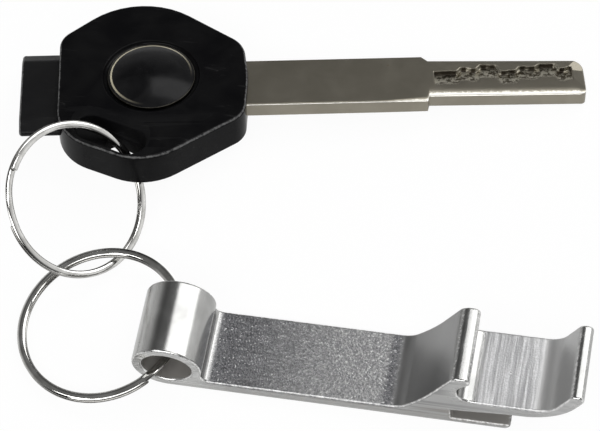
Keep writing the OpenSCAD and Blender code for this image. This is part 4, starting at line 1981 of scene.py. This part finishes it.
@dataclass(frozen=True)
class Softbox:
    """An area lamp that faces the object.

    Attributes:
        name: the lamp's name.
        towards: direction from the object to the lamp.
        along: direction of the lamp's long side.
        distance: metres to the object.
        size: length and width in metres.
        radiance: brightness of its face, where 1 is white.
    """

    name: str
    towards: tuple[float, float, float]
    along: tuple[float, float, float]
    distance: float
    size: tuple[float, float]
    radiance: float

    def build(self, centre: Vector) -> bpy.types.Object:
        """Makes the lamp; its power is radiance times pi times its area.

        Args:
            centre: the point that the lamp faces.

        Returns:
            The lamp.
        """
        lamp = bpy.data.lights.new(self.name, "AREA")
        lamp.shape, (lamp.size, lamp.size_y) = "RECTANGLE", self.size
        lamp.energy = self.radiance * math.pi * self.size[0] * self.size[1]
        z = Vector(self.towards).normalized()
        x = Vector(self.along)
        x = (x - z * x.dot(z)).normalized()
        turn = Matrix((x, z.cross(x), z)).transposed().to_4x4()
        box = bpy.data.objects.new(self.name, lamp)
        box.matrix_world = Matrix.Translation(centre + z * self.distance) @ turn
        bpy.context.scene.collection.objects.link(box)
        return box


@dataclass
class Studio:
    """Floor, softboxes and the room's dim light."""

    boxes: tuple[Softbox, ...] = (
        Softbox("key softbox", (0.411, 0.521, 0.747), (0.88, 0.0, -0.48), 0.8, (0.94, 0.40), 2.5),
        Softbox("front strip", (-0.10, -0.65, 0.75), (1.0, 0.0, 0.0), 0.8, (0.9, 0.34), 4.2),
        Softbox("right glint", (0.42, 0.0, 0.91), (0.6, 0.8, 0.0), 0.8, (0.26, 0.12), 8.0),
        Softbox("left glint", (-0.535, -0.184, 0.823), (0.75, -0.66, 0.0), 0.8, (0.26, 0.05), 9.0),
    )
    ambient: float = 0.19
    floor_drop: float = 0.00002

    def room(self) -> None:
        """Lights the room: white for the camera, and for the rest a dome of dim bands.

        The dome is grey overhead, darker in a band below that, and pale near the floor. It
        is paler at the left and right, and dark behind the camera.
        """
        world = bpy.data.worlds.new("pale room")
        bpy.context.scene.world = world
        world.use_nodes = True
        kit = NodeKit(world.node_tree)
        kit.tree.nodes.clear()
        way = kit.add("ShaderNodeTexCoord").outputs["Generated"]
        parts = kit.add("ShaderNodeSeparateXYZ")
        kit.feed(parts.inputs[0], way)
        x, y, z = parts.outputs
        overhead = kit.ramp(z, 0.68, 0.8, 0.10, self.ambient)
        low = kit.ramp(z, 0.55, 0.25, 0.0, 0.32)
        sides = kit.plus(kit.ramp(x, -0.6, -0.9, 0.0, 0.28), kit.ramp(x, 0.5, 0.75, 0.0, 0.6))
        dome = kit.plus(overhead, kit.plus(low, sides))
        dome = kit.times(dome, kit.ramp(y, -0.1, -0.45, 1.0, 0.15))
        rays = kit.add("ShaderNodeLightPath").outputs["Is Camera Ray"]
        grey = kit.add("ShaderNodeCombineColor")
        for k in range(3):
            kit.feed(grey.inputs[k], dome)
        sky = kit.add("ShaderNodeBackground")
        kit.feed(sky.inputs["Color"], kit.mix(rays, grey.outputs[0], (1.0, 1.0, 1.0)))
        out = kit.add("ShaderNodeOutputWorld")
        kit.feed(out.inputs["Surface"], sky.outputs[0])

    def floor(self) -> bpy.types.Object:
        """Makes the floor: a broad flat disc just under the object.

        Returns:
            The floor.
        """
        r = np.geomspace(0.05, 3.0, 24)[:, None]
        a = np.linspace(0, 2 * math.pi, 48, endpoint=False)
        loops = np.stack([r * np.cos(a), r * np.sin(a), np.full((24, 48), -self.floor_drop)], 2)
        shell = Shell()
        shell.band(loops / MM)
        shell.fill(loops[0] / MM)
        sheet = shell.piece("studio_floor", lambda p: p * MM)
        sheet.data.materials.append(PaleFloor().material())
        return sheet

    def build(self, centre: Vector) -> None:
        """Makes the floor, the lamps and the room.

        Args:
            centre: the point that the lamps face.
        """
        self.floor()
        self.room()
        for box in self.boxes:
            box.build(centre)
        bpy.context.scene.view_settings.view_transform = "Standard"


# ---------------------------------------------------------------- image points


def finished(piece: bpy.types.Object) -> tuple[np.ndarray, list[tuple[int, ...]]]:
    """Returns the vertices and faces of a piece as its modifiers leave it.

    Args:
        piece: the piece.

    Returns:
        Its vertices as rows, and the vertex numbers of each face.
    """
    graph = bpy.context.evaluated_depsgraph_get()
    mesh = piece.evaluated_get(graph).to_mesh()
    points = np.empty(len(mesh.vertices) * 3)
    mesh.vertices.foreach_get("co", points)
    return points.reshape(-1, 3), [tuple(p.vertices) for p in mesh.polygons]


class Side(Enum):
    """Which end of what shows is compared with an image point; a middle has no direction."""

    LEFT = (-1, 0)
    RIGHT = (1, 0)
    TOP = (0, -1)
    BOTTOM = (0, 1)
    MIDDLE = (0, 0)


@dataclass(frozen=True)
class ImagePoint:
    """Where something shows in the photograph's frame.

    Attributes:
        name: what it is.
        x: its distance from the frame's left, where that counts.
        y: its distance from the frame's top, where that counts.
        pieces: the pieces that carry it, or none for all of them.
        side: the end of those pieces that it is.
    """

    name: str
    x: float | None
    y: float | None
    pieces: tuple[str, ...]
    side: Side


NICK_POINT = ImagePoint("nick in the mouth's floor", 510.8, 372.5, ("bottle_opener",), Side.MIDDLE)
IMAGE_POINTS = (
    ImagePoint("object's left", 4.5, None, (), Side.LEFT),
    ImagePoint("object's right", 594.5, None, (), Side.RIGHT),
    ImagePoint("object's top", None, 5.4, (), Side.TOP),
    ImagePoint("object's bottom", None, 427.5, (), Side.BOTTOM),
    ImagePoint("blade's tip", 585.2, None, ("key_blade_bar",), Side.RIGHT),
    ImagePoint("head's near edge", None, 181.8, ("key_head_shell",), Side.BOTTOM),
    ImagePoint("block's outer end", 20.5, None, ("shutter_block_shell",), Side.LEFT),
    ImagePoint("badge's middle", 151.5, 75.5, ("badge_resin_dome",), Side.MIDDLE),
    ImagePoint("eye's far edge", None, 280.5, ("bottle_opener",), Side.TOP),
    ImagePoint("eye's left", 131.5, None, ("bottle_opener",), Side.LEFT),
    ImagePoint("far ring's top", None, 119.5, ("split_ring_in_key",), Side.TOP),
    ImagePoint("near ring's left", 16.5, None, ("split_ring_in_eye",), Side.LEFT),
    ImagePoint("near ring's bottom", None, 405.0, ("split_ring_in_eye",), Side.BOTTOM),
)


@dataclass
class Sight:
    """What the camera sees of the finished pieces."""

    camera: ViewCamera
    pieces: Sequence[bpy.types.Object]

    def __post_init__(self) -> None:
        """Gathers the pieces into one tree for rays."""
        bpy.context.view_layer.update()
        self.points, faces, start = {}, [], 0
        for piece in self.pieces:
            points, polygons = finished(piece)
            self.points[piece.name] = points
            faces += [tuple(i + start for i in p) for p in polygons]
            start += len(points)
        every = np.concatenate(list(self.points.values()))
        self.tree = BVHTree.FromPolygons(every.tolist(), faces)
        self.shown: dict[str, np.ndarray] = {}

    def place(self, point: ImagePoint) -> Vector:
        """Returns the place that an image point shows, or the place nearest its ray.

        Args:
            point: an image point with both x and y.

        Returns:
            The place on the pieces.
        """
        start, way = self.camera.ray(point.x, point.y)
        hit = self.tree.ray_cast(start, way)[0]
        if hit is None:
            middle = start + way * (Vector(self.camera.aim) - start).dot(way)
            hit = self.tree.find_nearest(middle)[0]
        return hit

    def visible(self, name: str) -> np.ndarray:
        """Returns the image points of a piece's finished vertices that nothing hides.

        Args:
            name: the piece's name.

        Returns:
            Rows of distance from the frame's left and top.
        """
        if name not in self.shown:
            start = Vector(self.camera.location)
            points = self.points[name]
            ways = [Vector(p) - start for p in points]
            shows = [self.tree.ray_cast(start, w, w.length - 0.00015)[0] is None for w in ways]
            self.shown[name] = self.camera.seen(points[np.array(shows)])
        return self.shown[name]

    def missed(self, point: ImagePoint) -> dict[str, float]:
        """Returns how far in x and y what shows lies from its image point, in pixels.

        Args:
            point: the image point.

        Returns:
            The differences, by axis.
        """
        seen = np.concatenate([self.visible(n) for n in point.pieces or self.points])
        way = np.array(point.side.value)
        at = seen[(seen @ way).argmax()] if way.any() else (seen.min(0) + seen.max(0)) / 2
        return {axis: round(float(a - b), 2) for axis, a, b in zip("xy", at, (point.x, point.y))
                if b is not None}


def main() -> None:
    """Builds the key ring's pieces, the studio and the camera, and measures the points."""
    logging.basicConfig(level=logging.INFO, format="%(message)s")
    opener_sizes, key_sizes = OpenerSizes(), KeySizes()
    eye_ring, key_ring = RingSizes(24.0, 1.2, 0.56), RingSizes(22.3, 1.05, 0.5)
    lay = Lay(opener_sizes, eye_ring, key_ring, key_sizes)
    camera = ViewCamera()
    camera.build()
    opener = BottleOpener(opener_sizes, lay).build()
    rings = [
        SplitRing("split_ring_in_eye", "opener_ring", "opener_ring", eye_ring, Winding.UPPER_FIRST,
                  lay.on_eye_ring).build(),
        SplitRing("split_ring_in_key", "key_ring", "key_ring", key_ring, Winding.LOWER_FIRST,
                  lay.on_key_ring).build(),
    ]
    key = CarKey(key_sizes, lay)
    head, blade = key.head(), key.blade()
    plate, dome, block = key.badge_plate(), key.badge_dome(), key.shutter_block()
    pieces = [opener, *rings, head, blade, plate, dome, block]
    sight = Sight(camera, pieces)
    nick = sight.place(NICK_POINT)
    opener.data.materials.append(TumbledAluminium().material(nick))
    steel = RingSteel().material()
    for ring in rings:
        ring.data.materials.append(steel)
    polished = BlackPlastic("polished black plastic", 0.15, 0.06, dull=0.45)
    head.data.materials.append(polished.material())
    blade.data.materials.append(NickelSilver().material())
    badge_foil = Foil("badge foil", (0.03, 0.029, 0.026), (0.07, 0.066, 0.055), 0.3)
    plate.data.materials.append(badge_foil.material())
    centre = Vector(lay.on_key(np.array([0.0, key_sizes.badge_y, key_sizes.head_t / 2])))
    dome.data.materials.append(BadgeResin().material(centre))
    satin = BlackPlastic("satin black plastic", 0.4, 0.18, texture_depth=0.006)
    block.data.materials.append(satin.material())
    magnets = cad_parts["shutter_magnets"]
    magnets.data.materials.clear()
    magnet_nickel = Foil("magnet nickel", (0.45, 0.45, 0.44), (0.6, 0.6, 0.58))
    magnets.data.materials.append(magnet_nickel.material())
    Studio().build(Vector((-0.008, 0.02, 0.0)))
    for piece in pieces:
        LOG.info("%s: %d faces", piece.name, len(piece.data.polygons))
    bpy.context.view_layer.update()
    missed = {p.name: sight.missed(p) for p in IMAGE_POINTS}
    at = camera.seen(np.array([nick]))[0] - (NICK_POINT.x, NICK_POINT.y)
    missed[NICK_POINT.name] = {"x": round(float(at[0]), 2), "y": round(float(at[1]), 2)}


if __name__ == "__main__":
    main()
